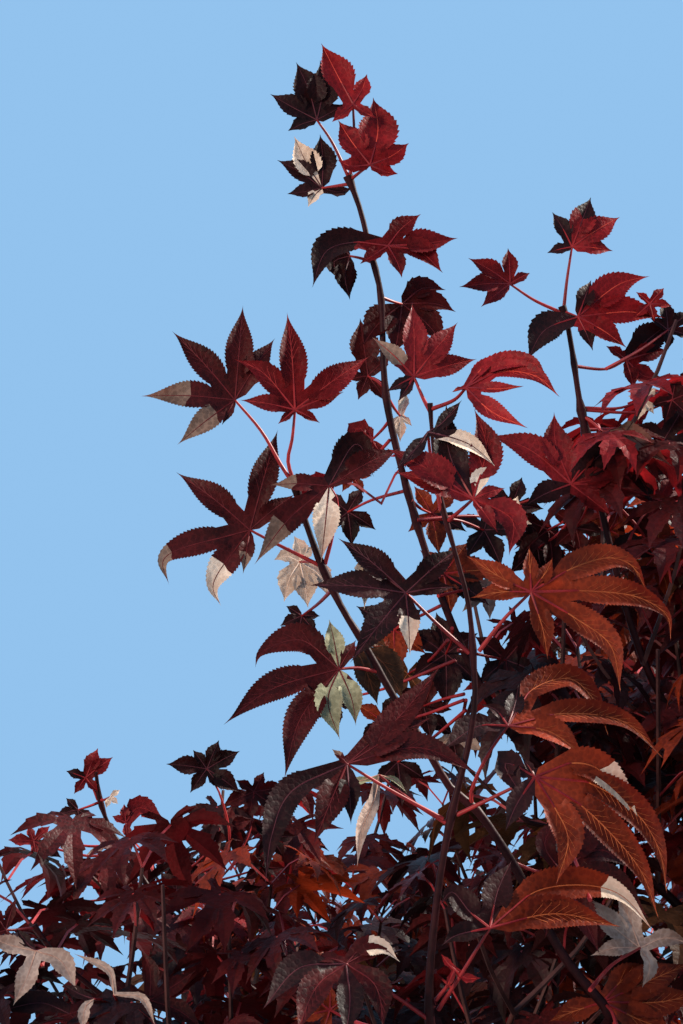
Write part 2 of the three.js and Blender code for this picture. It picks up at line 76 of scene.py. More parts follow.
# The source's driving sizes: pot and soil
POT_HEIGHT = 410
POT_FOOT_RADIUS = 188
POT_RIM_RADIUS = 262
POT_WALL = 16
POT_FLOOR = 24
RIM_BAND_HEIGHT = 48
RIM_BAND_STEP = 9
SOIL_BELOW_RIM = 36
SOIL_LEVEL = POT_HEIGHT - SOIL_BELOW_RIM
SOIL_MOUND = 12
SOIL_FLAT_RADIUS = 74
CLEARANCE = 0.3

# Trunk
TRUNK_FOOT = np.array([0.0, 0.0, SOIL_LEVEL + SOIL_MOUND + CLEARANCE])
TRUNK_FORK = np.array([22.0, 26.0, 650.0])
TRUNK_SWAY = 14
TRUNK_UPRIGHT = 30
TRUNK_RADII = (31, 22)
FLARE_RADIUS = 26
FLARE_HEIGHT = 0.2
FLARE_LOBES = 5
FLARE_LOBE_DEPTH = 0.35
FLARE_LOBE_TURN = 0.7

# Crown
CROWN_CENTRE = np.array([10.0, 60.0, 1330.0])
CROWN_LEAN = np.array([150.0, 40.0, 0.0])
CROWN_HALF_WIDTH = 640
CROWN_HALF_HEIGHT = 530
# Each tier: how many masses, the first one's turn, then how far out and how high, its half width and half
# height, in shares of the crown's
TIERS = [
    ("low", 5, 15, 0.54, -0.52, 0.46, 0.46),
    ("middle", 6, 40, 0.58, -0.08, 0.44, 0.46),
    ("upper", 4, 50, 0.36, 0.48, 0.39, 0.46),
    ("top", 1, 0, 0.06, 0.62, 0.36, 0.38),
]
# Each tier's boughs: what they leave, how far along it the first does and how far on each next one, how far
# they bow out, and how thick they are at the foot
BOUGHS = {
    "low": ("trunk", 0.72, 0.05, 20, 11),
    "middle": ("upper", 0.3, 0.16, 24, 12),
    "upper": ("trunk", 0.985, 0, 22, 15),
    "top": ("trunk", 0.995, 0, -10, 15),
}
CROWN_SEED = 4021
MASS_SEED = 100
MASS_SEED_STEP = 17
SHOOT_SEED = 900
SHOOT_SEED_STEP = 31
TIER_JITTER = 0.05
TURN_JITTER = 9
NEIGHBOUR_SHARE = 0.97

# Boughs, stems and twigs
BOUGH_SHARE = 0.8
BOUGH_TIP_RADIUS = 6.5
BOUGH_ENTRY = 0.82
STEM_COLLAR = 18
STEM_SOCKET = 2
STEM_SAG = 20
STEM_NODES = 4
STEM_FIRST_NODE = 0.34
STEM_LAST_NODE = 0.99
STEM_OUT = 0.45
STEM_UP = 0.4
STEM_STEPS = 4
STEM_TIP_RADIUS = 3.4
TWIG_STEP = 22
TWIG_FEWEST_POINTS = 4
TWIG_LONGEST = 260
TWIG_SHARE = 0.62
TWIG_LIFT = 0.06
TWIG_TURN_SPREAD = 50
TWIG_FORWARD = 0.35
TWIG_FORWARD_SPREAD = 0.3
LIMB_SAMPLES = 30
LIMB_SPARE = 13
STEM_SPARE = 17

# Long shoots
SHOOT_HALF_WIDTH = 100
# Each long shoot: the bough it leaves and how far along, its elbow and its tip
SHOOTS = [
    ("shoot_front", "bough_middle_4", 0.86, (-384, -382, 1392), (-384, -428, 1641)),
    ("shoot_behind_front", "bough_middle_4", 0.94, (-318, -338, 1412), (-439, -373, 1617)),
    ("shoot_highest", "bough_upper_3", 0.86, (-388, -250, 1600), (-420, -283, 1806)),
    ("shoot_front_right", "bough_upper_3", 0.94, (-292, -222, 1600), (-318, -240, 1760)),
    ("shoot_right", "bough_upper_4", 0.92, (330, -190, 1600), (378, -220, 1770)),
    ("shoot_back", "bough_upper_1", 0.92, (270, 350, 1600), (300, 400, 1780)),
    ("shoot_back_left", "bough_upper_2", 0.92, (-190, 320, 1590), (-226, 350, 1750)),
    ("shoot_left", "bough_middle_3", 0.92, (-478, -22, 1400), (-562, -50, 1512)),
    ("shoot_low_left", "bough_middle_4", 0.78, (-490, -205, 1330), (-572, -202, 1432)),
]

# Finer twigs than the source's: each spray's places, length and way from its twig
TWIG_RADII = (3.0, 1.5)
SPRAY_RADII = (1.5, 0.9)
SPRAY_FIRST = 0.2
SPRAY_GAP = 40
SPRAY_STEP = 12
SPRAY_LENGTH = 150
SPRAY_SHORTEST = 0.7
SPRAY_LENGTH_SPREAD = 0.5
SPRAY_TAPER = 0.45
SPRAY_FORWARD = 0.6
SPRAY_FORWARD_SPREAD = 0.5
SPRAY_LIFT = 0.1
SPRAY_SHARE = 0.93

# Leaves on the sprays and shoots: their gaps, ways, sizes, and how they nod, roll and swing
LEAF_SEED = 7717
LEAF_GAP = 28
LEAF_GAP_LEAST = 0.85
LEAF_GAP_SPREAD = 0.3
LEAF_NEAREST_ROOT = 0.3
LEAF_REACH = (30, 46)
LEAF_TURN_SPREAD = 50
LEAF_FORWARD = 0.65
LEAF_RISE = 0.25
LEAF_SWING = 50
LEVEL_NUDGE = 0.0001
LEAF_NOD = 0.15
LEAF_NOD_SPREAD = 1.0
LEAF_ROLL_SPREAD = 1.1
STALK_RADIUS = 0.75
STALK_LENGTH = 0.5
STALK_LENGTH_SPREAD = 0.35
STALK_BOW = 0.08
STALK_BOW_AT = 0.55
SHOOT_INTERNODE = 58
SHOOT_TIP = 4
SHOOT_LEAF_FORWARD = 0.55

# What the photograph leaves to the rule: how many pairs of a shoot's leaves it shows, and which stretch of a
# shoot's stem carries sprays
PAIRS_FROM_PHOTO = {
    "shoot_front": 9,
    "shoot_behind_front": 9,
    "shoot_highest": 3,
    "shoot_front_right": 3,
    "shoot_left": 2,
    "shoot_low_left": 2,
}
LEAFY_STRETCH = (0.3, 0.66)
LEAFY_STRETCHES = {
    "shoot_highest": (0.3, 0.8),
    "shoot_front_right": (0.3, 0.85),
    "shoot_left": (0.3, 0.95),
    "shoot_low_left": (0.2, 0.95),
}

# Where the photograph shows sky: above these heights, from left to right, in its pixels; and how near to the
# camera the crown's leaves may come
SKY_EDGE_U = (0, 60, 170, 300, 430, 480, 560, 683)
SKY_EDGE_V = (850, 800, 785, 765, 730, 455, 400, 300)
CROWN_NEAREST = 930


def make_camera():
    data = bpy.data.cameras.new("camera")
    data.lens = LENS
    data.sensor_width = SENSOR
    data.clip_start, data.clip_end = CLIP_METRES
    camera = bpy.data.objects.new("camera", data)
    camera.location = EYE * MM
    camera.rotation_euler = (math.pi / 2 + RISE, 0, 0)
    bpy.context.scene.collection.objects.link(camera)
    bpy.context.scene.camera = camera


def seen(u, v, depth):
    """The place at pixel u, v of the photograph, at a depth in millimetres along the camera's axis."""
    aside = (u - PICTURE[0] / 2) / PIXELS_PER_TANGENT
    rise = (PICTURE[1] / 2 - v) / PIXELS_PER_TANGENT
    return EYE + depth * (AHEAD + aside * RIGHT + rise * ABOVE)


def out_of_place(points):
    """Whether each place lies where the photograph shows open sky, or in its picture but too near."""
    offset = points - EYE
    depth = np.maximum(offset @ AHEAD, 1)
    u = PICTURE[0] / 2 + PIXELS_PER_TANGENT * (offset @ RIGHT) / depth
    v = PICTURE[1] / 2 - PIXELS_PER_TANGENT * (offset @ ABOVE) / depth
    inside = (u > 0) & (u < PICTURE[0]) & (v > 0) & (offset @ AHEAD > 0)
    before = (v < PICTURE[1]) & (depth < CROWN_NEAREST)
    return inside & (before | (v < np.interp(u, SKY_EDGE_U, SKY_EDGE_V)))


make_camera()
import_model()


# Sums and vectors
RANDOM_FACTOR = 48271
RANDOM_RANGE = 2147483647
CURVE_STEPS = 200
CURVE_NUDGE = 0.0001
NEARLY_UPRIGHT = 0.97
STEEP = 0.9


def seeded(seed):
    """The source's repeatable random numbers from 0 to 1."""
    state = seed

    def draw():
        nonlocal state
        state = state * RANDOM_FACTOR % RANDOM_RANGE
        return state / RANDOM_RANGE

    return draw


def unit(vector):
    return vector / np.linalg.norm(vector, axis=-1, keepdims=True)


def mix(first, second, share):
    return first + (second - first) * share


def turned(vector, axis, degrees):
    """vector turned about a unit axis."""
    angle = math.radians(degrees)
    along = axis * axis.dot(vector) * (1 - math.cos(angle))
    return vector * math.cos(angle) + np.cross(axis, vector) * math.sin(angle) + along


def aim(turn):
    """The level way at a turn in degrees from +X."""
    yaw = math.radians(turn)
    return np.array([math.cos(yaw), math.sin(yaw), 0.0])


def across_from(heading):
    return unit(np.cross(heading, RIGHT if abs(heading[2]) > NEARLY_UPRIGHT else UP))


class Curve:
    """A centripetal Catmull-Rom curve, the same as the source's, with places given by share of its length."""

    def __init__(self, points):
        self.points = np.asarray(points, float)
        self.steps = np.linspace(0, 1, CURVE_STEPS + 1)
        chords = np.linalg.norm(np.diff(self.point(self.steps), axis=0), axis=1)
        self.marks = np.concatenate([[0], np.cumsum(chords)])
        self.length = self.marks[-1]

    def point(self, step):
        step = np.clip(np.atleast_1d(step), 0, 1)
        last = len(self.points) - 1
        first = np.minimum((step * last).astype(int), last - 1)
        weight = (step * last - first)[:, None]
        ends = self.points
        padded = np.vstack([2 * ends[0] - ends[1], ends, 2 * ends[-1] - ends[-2]])
        a, b, c, d = (padded[first + shift] for shift in range(4))
        pairs = ((a, b), (b, c), (c, d))
        ab, bc, cd = (np.sqrt(np.linalg.norm(q - p, axis=1, keepdims=True)) for p, q in pairs)
        leaving = ((b - a) / ab - (c - a) / (ab + bc) + (c - b) / bc) * bc
        arriving = ((c - b) / bc - (d - b) / (bc + cd) + (d - c) / cd) * bc
        square = 3 * (c - b) - 2 * leaving - arriving
        cube = 2 * (b - c) + leaving + arriving
        return b + leaving * weight + square * weight**2 + cube * weight**3

    def at(self, share):
        places = self.point(np.interp(np.asarray(share, float) * self.length, self.marks, self.steps))
        return places if np.ndim(share) else places[0]

    def going(self, share):
        step = np.interp(np.asarray(share, float) * self.length, self.marks, self.steps)
        ways = unit(self.point(step + CURVE_NUDGE) - self.point(step - CURVE_NUDGE))
        return ways if np.ndim(share) else ways[0]


# The source's limbs and masses, by its own rule
class Limb:
    """The trunk or a bough: its curve, its radii at foot and tip, the limb it grows from, and its tier."""

    def __init__(self, curve, radii, parent=None, tier=None):
        self.curve = curve
        self.radii = radii
        self.parent = parent
        self.tier = tier
        shares = np.linspace(0, 1, LIMB_SAMPLES + 1)
        self.samples = curve.at(shares)
        self.thickness = self.radius(shares)

    def radius(self, share):
        return mix(*self.radii, share)


class Mass:
    """A mass of foliage: a round space about an axis, filled from one stem."""

    def __init__(self, name, tier, bough, seed, outward, centre, axis, sizes):
        self.name = name
        self.tier = tier
        self.bough = bough
        self.seed = seed
        self.outward = outward
        self.centre = centre
        self.axis = axis
        self.half_length, self.half_width = sizes
        self.ends = None
        self.along = 1
        self.stem = None
        self.samples = None

    def fill(self, point):
        """How far out a place lies in the space: 0 at its centre, 1 at its edge."""
        offset = point - self.centre
        along = offset @ self.axis
        aside = np.sqrt(np.maximum((offset**2).sum(-1) - along**2, 0))
        return np.hypot(along / self.half_length, aside / self.half_width)


def trunk_curve():
    """Upright at the foot, then swaying a little on its way to the fork."""
    middle = mix(TRUNK_FOOT, TRUNK_FORK, 0.5) + np.array([-TRUNK_SWAY, TRUNK_SWAY / 2, 0])
    return Curve([TRUNK_FOOT, TRUNK_FOOT + TRUNK_UPRIGHT * UP, middle, TRUNK_FORK])


def tier_masses():
    """The masses of each tier, evenly round the crown but for some jitter."""
    draw = seeded(CROWN_SEED)
    found = []
    for tier, count, start, out, height, wide, tall in TIERS:
        for index in range(count):
            outward = aim(start + 360 * index / count + TURN_JITTER * (2 * draw() - 1))
            reach = out + TIER_JITTER * (2 * draw() - 1)
            rise = height + TIER_JITTER * (2 * draw() - 1)
            centre = CROWN_CENTRE + reach * CROWN_HALF_WIDTH * outward
            centre = centre + rise * CROWN_LEAN + rise * CROWN_HALF_HEIGHT * UP
            sizes = (tall * CROWN_HALF_HEIGHT, wide * CROWN_HALF_WIDTH)
            name = f"{tier}_{index + 1}"
            seed = MASS_SEED + MASS_SEED_STEP * len(found)
            found.append(Mass(f"foliage_{name}", tier, f"bough_{name}", seed, outward, centre, UP, sizes))
    return found


def shoot_masses():
    """The space round each long shoot."""
    found = []
    for index, (name, bough, along, elbow, tip) in enumerate(SHOOTS):
        elbow, tip = np.array(elbow, float), np.array(tip, float)
        level = (tip - CROWN_CENTRE) * (1, 1, 0)
        half_length = 0.5 * np.linalg.norm(tip - elbow) + SHOOT_HALF_WIDTH
        seed = SHOOT_SEED + SHOOT_SEED_STEP * index
        sizes = (half_length, SHOOT_HALF_WIDTH)
        shoot = Mass(name, "shoot", bough, seed, unit(level), mix(elbow, tip, 0.5), unit(tip - elbow), sizes)
        shoot.ends = (elbow, tip)
        shoot.along = along
        found.append(shoot)
    return found


def grow_bough(mass, masses, limbs):
    """The bough that carries a mass, from the trunk or the nearest upper bough to just inside the mass."""
    on, start, apart, bow, thick = BOUGHS[mass.tier]
    uppers = [other for other in masses if other.tier == "upper"]
    nearest = max(uppers, key=lambda other: other.outward @ mass.outward)
    parent = limbs["trunk"] if on == "trunk" else limbs[nearest.bough]
    taken = sum(limb.parent is parent and limb.tier == mass.tier for limb in limbs.values())
    along = start + apart * taken
    root = parent.curve.at(along)
    tip = mass.centre + (root - mass.centre) * BOUGH_ENTRY / mass.fill(root)
    middle = mix(root, tip, 0.5) + bow * (mass.outward - UP)
    radius = min(thick, BOUGH_SHARE * parent.radius(along))
    radii = (radius, BOUGH_TIP_RADIUS)
    limbs[mass.bough] = Limb(Curve([root, middle, tip]), radii, parent, mass.tier)


def stem_curve(mass, bough):
    """A shoot's stem by its elbow and tip, or a mass's stem on from its bough, outward and up."""
    start = bough.curve.at(mass.along)
    if mass.ends:
        return Curve([start, *mass.ends])
    end = mass.centre + STEM_OUT * mass.half_width * mass.outward + STEM_UP * mass.half_length * UP
    going = bough.curve.going(1)
    middle = mix(start, end, 0.5) - STEM_SAG * UP
    return Curve([start - STEM_SOCKET * going, start + STEM_COLLAR * going, middle, end])


limbs = {"trunk": Limb(trunk_curve(), TRUNK_RADII)}
tiers = tier_masses()
for level in ("upper", "top", "middle", "low"):
    for mass in tiers:
        if mass.tier == level:
            grow_bough(mass, tiers, limbs)
masses = tiers + shoot_masses()
for mass in masses:
    mass.stem = stem_curve(mass, limbs[mass.bough])
    mass.samples = mass.stem.at(np.linspace(0, 1, LIMB_SAMPLES + 1))
LIMB_POINTS = np.vstack([limb.samples for limb in limbs.values()])
LIMB_RADII = np.concatenate([limb.thickness for limb in limbs.values()])


def in_space(mass, point, share):
    """Whether a place is well inside a mass and nearer to it than to any other."""
    own = mass.fill(point)
    if own >= share:
        return False
    return all(other is mass or own < NEIGHBOUR_SHARE * other.fill(point) for other in masses)


def clear_of_limbs(mass, point):
    """Whether a place stays clear of trunk and boughs, and of the other masses' stems."""
    if np.any(np.linalg.norm(LIMB_POINTS - point, axis=1) < LIMB_RADII + LIMB_SPARE):
        return False
    stems = [other.samples for other in masses if other is not mass]
    return all(np.linalg.norm(samples - point, axis=1).min() > STEM_SPARE for samples in stems)


def on_stem(stem, along):
    """A place on a stem as the source draws it, in a few straight steps."""
    step = min(int(along * STEM_STEPS), STEM_STEPS - 1)
    before, after = stem.at(step / STEM_STEPS), stem.at((step + 1) / STEM_STEPS)
    return mix(before, after, along * STEM_STEPS - step)


def through(points):
    """A curve by the first, middle and last of a twig's points."""
    return Curve([points[0], points[len(points) // 2], points[-1]])


def grow_twigs(mass):
    """Opposite pairs of twigs up a mass's stem, each pair a quarter turn or so from the last."""
    draw = seeded(mass.seed)
    twigs = []
    for node in range(STEM_NODES):
        along = STEM_FIRST_NODE + (STEM_LAST_NODE - STEM_FIRST_NODE) * node / (STEM_NODES - 1)
        stem_going = mass.stem.going(along)
        turn = 90 * node + TWIG_TURN_SPREAD * draw()
        for side in (0, 180):
            aside = turned(across_from(stem_going), stem_going, turn + side)
            going = unit(stem_going * (TWIG_FORWARD + TWIG_FORWARD_SPREAD * draw()) + aside)
            points = [on_stem(mass.stem, along)]
            while (len(points) - 1) * TWIG_STEP < TWIG_LONGEST:
                going = unit(going + TWIG_LIFT * UP)
                after = points[-1] + TWIG_STEP * going
                if not in_space(mass, after, TWIG_SHARE) or not clear_of_limbs(mass, after):
                    break
                points.append(after)
            if len(points) >= TWIG_FEWEST_POINTS:
                twigs.append(through(points))
    return twigs


# Sprays: the same opposite pairs, carried on from each twig until they near the edge of the space
class Spray:
    """A fine twig with its leaves, all of one colour."""

    def __init__(self, curve):
        self.curve = curve
        self.colour = None


def grow_spray(mass, root, going, longest):
    """The points of a spray, rising a little, as long as it may be or until it leaves its mass."""
    points = [root]
    while (len(points) - 1) * SPRAY_STEP < longest:
        going = unit(going + SPRAY_LIFT * UP)
        after = points[-1] + SPRAY_STEP * going
        if mass and mass.fill(after) > SPRAY_SHARE:
            break
        points.append(after)
    return points


def grow_sprays(mass, twig, draw, first=SPRAY_FIRST, last=1.0):
    """Opposite pairs of sprays from the first to the last share of a twig, shorter towards its tip."""
    sprays = []
    count = max(1, int((last - first) * twig.length / SPRAY_GAP))
    for node in range(count + 1):
        along = mix(first, last, node / count)
        going = twig.going(along)
        turn = 90 * node + TWIG_TURN_SPREAD * draw()
        for side in (0, 180):
            aside = turned(across_from(going), going, turn + side)
            heading = unit(going * (SPRAY_FORWARD + SPRAY_FORWARD_SPREAD * draw()) + aside)
            longest = SPRAY_LENGTH * (1 - SPRAY_TAPER * along)
            longest *= SPRAY_SHORTEST + SPRAY_LENGTH_SPREAD * draw()
            points = grow_spray(mass, twig.at(along), heading, longest)
            if len(points) > 2:
                sprays.append(Spray(through(points)))
    return sprays


# Meshes
def make_piece(name, points, triangles, materials, marks=None, smooth=True):
    """An object of one mesh of triangles, from millimetres, each with its mark's material."""
    mesh = bpy.data.meshes.new(name)
    triangles = np.asarray(triangles, np.int32)
    mesh.vertices.add(len(points))
    mesh.vertices.foreach_set("co", (np.asarray(points) * MM).astype(np.float32).ravel())
    mesh.loops.add(3 * len(triangles))
    mesh.loops.foreach_set("vertex_index", triangles.ravel())
    mesh.polygons.add(len(triangles))
    mesh.polygons.foreach_set("loop_start", np.arange(0, 3 * len(triangles), 3, dtype=np.int32))
    mesh.polygons.foreach_set("use_smooth", np.full(len(triangles), smooth))
    for material in materials:
        mesh.materials.append(material)
    if marks is not None:
        mesh.polygons.foreach_set("material_index", np.asarray(marks, np.int32))
    mesh.update(calc_edges=True)
    mesh.validate()
    if smooth:
        mesh.set_sharp_from_angle(angle=SHARP_EDGE)
    piece = bpy.data.objects.new(name, mesh)
    bpy.context.scene.collection.objects.link(piece)
    return piece


class Heap:
    """Points and triangles gathered from many small shapes."""

    def __init__(self):
        self.points = []
        self.triangles = []
        self.marks = []
        self.count = 0

    def add(self, points, triangles, marks=0):
        points = np.asarray(points, float).reshape(-1, 3)
        triangles = np.asarray(triangles, int).reshape(-1, 3)
        self.points.append(points)
        self.triangles.append(triangles + self.count)
        self.marks.append(np.broadcast_to(marks, len(triangles)))
        self.count += len(points)

    def pieces(self, name, materials, smooth=True):
        """One piece, or several where it would pass the most triangles for a piece."""
        made = []
        points, triangles = np.vstack(self.points), np.vstack(self.triangles)
        marks = np.concatenate(self.marks)
        parts = math.ceil(len(triangles) / MOST_TRIANGLES)
        bounds = np.linspace(0, len(self.triangles), parts + 1).astype(int)
        sizes = np.cumsum([0] + [len(some) for some in self.triangles])
        for order in range(parts):
            first, last = sizes[bounds[order]], sizes[bounds[order + 1]]
            used, corners = np.unique(triangles[first:last], return_inverse=True)
            label = name if parts == 1 else f"{name}_{order + 1}"
            chosen = marks[first:last] if len(materials) > 1 else None
            made.append(make_piece(label, points[used], corners.reshape(-1, 3), materials, chosen, smooth))
        return made


def walls(rings, sides):
    """The triangles between rings of as many points each, one above the other."""
    around = np.arange(sides)
    along = np.arange(rings - 1)[:, None] * sides
    a, b = along + around, along + (around + 1) % sides
    return np.stack([a, b, b + sides, a, b + sides, a + sides], -1).reshape(-1, 3)


def tubes(paths, radii, sides):
    """Round bodies along many paths of as many points each: their points and their triangles."""
    paths = np.asarray(paths, float)
    count, steps, _ = paths.shape
    going = unit(np.gradient(paths, axis=1))
    level = np.where(np.abs(going[:, :1, 2:]) > STEEP, RIGHT, UP)
    first = unit(np.cross(going, np.broadcast_to(level, going.shape)))
    second = np.cross(going, first)
    angles = 2 * np.pi * np.arange(sides) / sides
    ring = first[:, :, None] * np.cos(angles)[:, None] + second[:, :, None] * np.sin(angles)[:, None]
    points = paths[:, :, None] + ring * np.broadcast_to(radii, (count, steps))[:, :, None, None]
    onward = np.arange(1, sides - 1)
    fan = np.stack([0 * onward, onward, onward + 1], -1)
    shape = np.vstack([walls(steps, sides), fan[:, ::-1], fan + (steps - 1) * sides])
    triangles = shape[None] + (np.arange(count) * steps * sides)[:, None, None]
    return points.reshape(-1, 3), triangles.reshape(-1, 3)


def tapered(curve, radii, steps, sides):
    """One round body along a curve, its radius going evenly from the first to the second."""
    return tubes([curve.at(np.linspace(0, 1, steps))], [np.linspace(*radii, steps)], sides)


def closed_rings(rings, foot, top):
    """A closed body from rings of points, one above the other, and the middles of its foot and top."""
    count, sides, _ = rings.shape
    around = np.arange(sides)
    onward = (around + 1) % sides
    last = (count - 1) * sides
    floor = np.stack([np.full(sides, count * sides), onward, around], -1)
    lid = np.stack([np.full(sides, count * sides + 1), last + around, last + onward], -1)
    return np.vstack([rings.reshape(-1, 3), foot, top]), np.vstack([walls(count, sides), floor, lid])


def lathe(profile, sides):
    """A closed round body from (radius, height) points that start and end on the axis."""
    inner = np.array(profile[1:-1], float)[:, None]
    angles = 2 * np.pi * np.arange(sides) / sides
    ring = np.stack([np.cos(angles), np.sin(angles), 0 * angles], -1)
    rings = inner[..., :1] * ring + inner[..., 1:] * UP
    return closed_rings(rings, profile[0][1] * UP, profile[-1][1] * UP)


def dressed(piece, slot, *nodes):
    """The piece rides with the plant, in place of the nodes. slot is not used."""
    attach(piece, "root")
    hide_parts(*nodes)


# Materials: numbers that vary over a surface are written as sums
MIX_FIRST = 6
MIX_SECOND = 7
MIX_COLOUR = 2
HEIGHT_OUTPUT = 2


class Value:
    """A socket whose number or vector varies over a surface."""

    def __init__(self, surface, socket):
        self.surface = surface
        self.socket = socket

    def maths(self, operation, *terms):
        return self.surface.node("ShaderNodeMath", {"operation": operation}, dict(enumerate(terms)))

    def __add__(self, other):
        return self.maths("ADD", self, other)

    def __sub__(self, other):
        return self.maths("SUBTRACT", self, other)

    def __rsub__(self, other):
        return self.maths("SUBTRACT", other, self)

    def __mul__(self, other):
        return self.maths("MULTIPLY", self, other)

    __radd__ = __add__
    __rmul__ = __mul__

    def between(self, low, high):
        """0 at low, 1 at high and beyond, with a smooth step between."""
        settings = {"interpolation_type": "SMOOTHSTEP"}
        return self.surface.node("ShaderNodeMapRange", settings, {0: self, 1: low, 2: high})


class Surface:
    """A material whose nodes are made one by one, settings first."""

    def __init__(self, name):
        self.material = bpy.data.materials.new(name)
        self.material.use_nodes = True
        self.tree = self.material.node_tree
        self.tree.nodes.clear()

    def node(self, kind, settings=(), sockets=(), output=0):
        """The value at an output of a new node: its settings first, then its sockets' values and links."""
        node = self.tree.nodes.new(kind)
        for key, value in dict(settings).items():
            setattr(node, key, value)
        for key, value in dict(sockets).items():
            if isinstance(value, Value):
                self.tree.links.new(value.socket, node.inputs[key])
            else:
                node.inputs[key].default_value = value
        return Value(self, node.outputs[output])

    def place(self, stretch=(1, 1, 1)):
        """Where a point of the surface is, in metres, with each axis multiplied by its own number."""
        where = self.node("ShaderNodeTexCoord", output="Object")
        return self.node("ShaderNodeVectorMath", {"operation": "MULTIPLY"}, {0: where, 1: stretch})

    def height(self):
        return self.node("ShaderNodeSeparateXYZ", (), {0: self.place()}, HEIGHT_OUTPUT)

    def noise(self, scale, detail=3, stretch=(1, 1, 1)):
        sockets = {"Vector": self.place(stretch), "Scale": scale, "Detail": detail}
        return self.node("ShaderNodeTexNoise", (), sockets)

    def cells(self, scale, stretch=(1, 1, 1)):
        return self.node("ShaderNodeTexVoronoi", (), {"Vector": self.place(stretch), "Scale": scale})

    def mixed(self, share, first, second):
        """A colour between two colours."""
        first, second = (value if isinstance(value, Value) else (*value, 1) for value in (first, second))
        sockets = {0: share, MIX_FIRST: first, MIX_SECOND: second}
        return self.node("ShaderNodeMix", {"data_type": "RGBA"}, sockets, MIX_COLOUR)

    def bump(self, height, strength, distance):
        return self.node("ShaderNodeBump", (), {"Height": height, "Strength": strength, "Distance": distance})

    def finish(self, shader):
        out = self.tree.nodes.new("ShaderNodeOutputMaterial")
        self.tree.links.new(shader.socket, out.inputs["Surface"])
        return self.material


LEAF_ROUGHNESS = 0.42
LEAF_SHINE = 0.10
LEAF_THROUGH = 0.3
# Each leaf colour: its dark and light tones, and its glow with the light behind it
LEAF_COLOURS = {
    "maroon": ((0.018, 0.0030, 0.0030), (0.072, 0.0072, 0.0072), (0.12, 0.004, 0.005)),
    "crimson": ((0.055, 0.0038, 0.0045), (0.19, 0.010, 0.012), (0.19, 0.006, 0.008)),
    "scarlet": ((0.080, 0.0045, 0.0055), (0.28, 0.012, 0.014), (0.32, 0.009, 0.010)),
    "brick": ((0.070, 0.0085, 0.004), (0.24, 0.029, 0.009), (0.22, 0.020, 0.005)),
    "plum": ((0.008, 0.0030, 0.0030), (0.030, 0.0065, 0.007), (0.050, 0.004, 0.005)),
    "bronze": ((0.035, 0.014, 0.007), (0.10, 0.036, 0.015), (0.12, 0.028, 0.007)),
    # A pale grey-tan: in part the pale underside a turned leaf shows, in part painted sunlit sheen
    "dusky": ((0.21, 0.125, 0.095), (0.48, 0.34, 0.275), (0.36, 0.15, 0.11)),
    # Tan is painted sunlight: the sunlit outer part of a lobe, up to a painted shadow edge
    "tan": ((0.095, 0.052, 0.038), (0.27, 0.165, 0.12), (0.26, 0.10, 0.07)),
    # Cream is painted sunlight: leaves and lobe tips drawn as brightly sunlit
    "cream": ((0.50, 0.34, 0.25), (0.82, 0.64, 0.50), (0.50, 0.28, 0.18)),
    "sage": ((0.16, 0.15, 0.085), (0.42, 0.40, 0.25), (0.20, 0.18, 0.06)),
}


def leaf_surface(name, dark, light, glow):
    """A thin leaf that lets some light through, in two tones in soft patches with a fine net of veins."""
    leaf = Surface(name)
    patches = leaf.noise(45).between(0.35, 0.65)
    lit = leaf.noise(24, 2).between(0.38, 0.62)
    grain = leaf.noise(420, 2)
    net = leaf.cells(520).between(0.35, 0.75)
    colour = leaf.mixed(patches * 0.55 + grain * 0.2 + net * 0.35, dark, light)
    relief = leaf.bump(grain - net * 0.8, 0.24, 0.0006)
    front = leaf.node("ShaderNodeBsdfPrincipled", (), {
        "Base Color": colour,
        "Roughness": grain * 0.16 + LEAF_ROUGHNESS,
        "Specular IOR Level": LEAF_SHINE,
        "Normal": relief,
    })
    back = leaf.node("ShaderNodeBsdfTranslucent", (), {"Color": (*glow, 1)})
    through = (lit * 1.5 + 0.25) * LEAF_THROUGH
    return leaf.finish(leaf.node("ShaderNodeMixShader", (), {0: through, 1: front, 2: back}))


def plain_surface(name, dark, light, scale, roughness, bump, depth=0.0005, shine=0.5):
    """A finish of two tones in patches with a fine grain."""
    skin = Surface(name)
    patches = skin.noise(scale)
    grain = skin.noise(scale * 9, 2)
    shader = skin.node("ShaderNodeBsdfPrincipled", (), {
        "Base Color": skin.mixed((patches * 0.7 + grain * 0.3).between(0.3, 0.7), dark, light),
        "Roughness": grain * 0.2 + (roughness - 0.1),
        "Specular IOR Level": shine,
        "Normal": skin.bump(grain, bump, depth),
    })
    return skin.finish(shader)


# The heights, in metres, between which the bark turns from old to young
YOUNG_BARK_HEIGHTS = (0.72, 1.15)


def bark_surface():
    """Maple bark: grey-brown, with pale upright streaks and pores, and dark red up in the crown."""
    bark = Surface("maple_bark")
    tone = bark.noise(34, 4, (1, 1, 0.3)).between(0.35, 0.68)
    streaks = bark.noise(190, 4, (1, 1, 0.16)).between(0.52, 0.72)
    cracks = bark.noise(420, 3, (1, 1, 0.12)).between(0.60, 0.70)
    pores = 1 - bark.cells(260, (1, 1, 0.5)).between(0.10, 0.26)
    base = bark.mixed(tone, (0.105, 0.060, 0.046), (0.205, 0.150, 0.115))
    base = bark.mixed(streaks * 0.55, base, (0.33, 0.27, 0.215))
    base = bark.mixed(cracks * 0.7, base, (0.035, 0.022, 0.018))
    base = bark.mixed(pores * 0.5, base, (0.40, 0.33, 0.26))
    base = bark.mixed(bark.height().between(*YOUNG_BARK_HEIGHTS) * 0.88, base, (0.026, 0.008, 0.007))
    height = streaks * 0.4 - cracks * 0.8 + pores * 0.5 + tone * 0.3
    shader = bark.node("ShaderNodeBsdfPrincipled", (), {
        "Base Color": base,
        "Roughness": 0.72 + cracks * 0.2,
        "Normal": bark.bump(height, 0.55, 0.0016),
    })
    return bark.finish(shader)


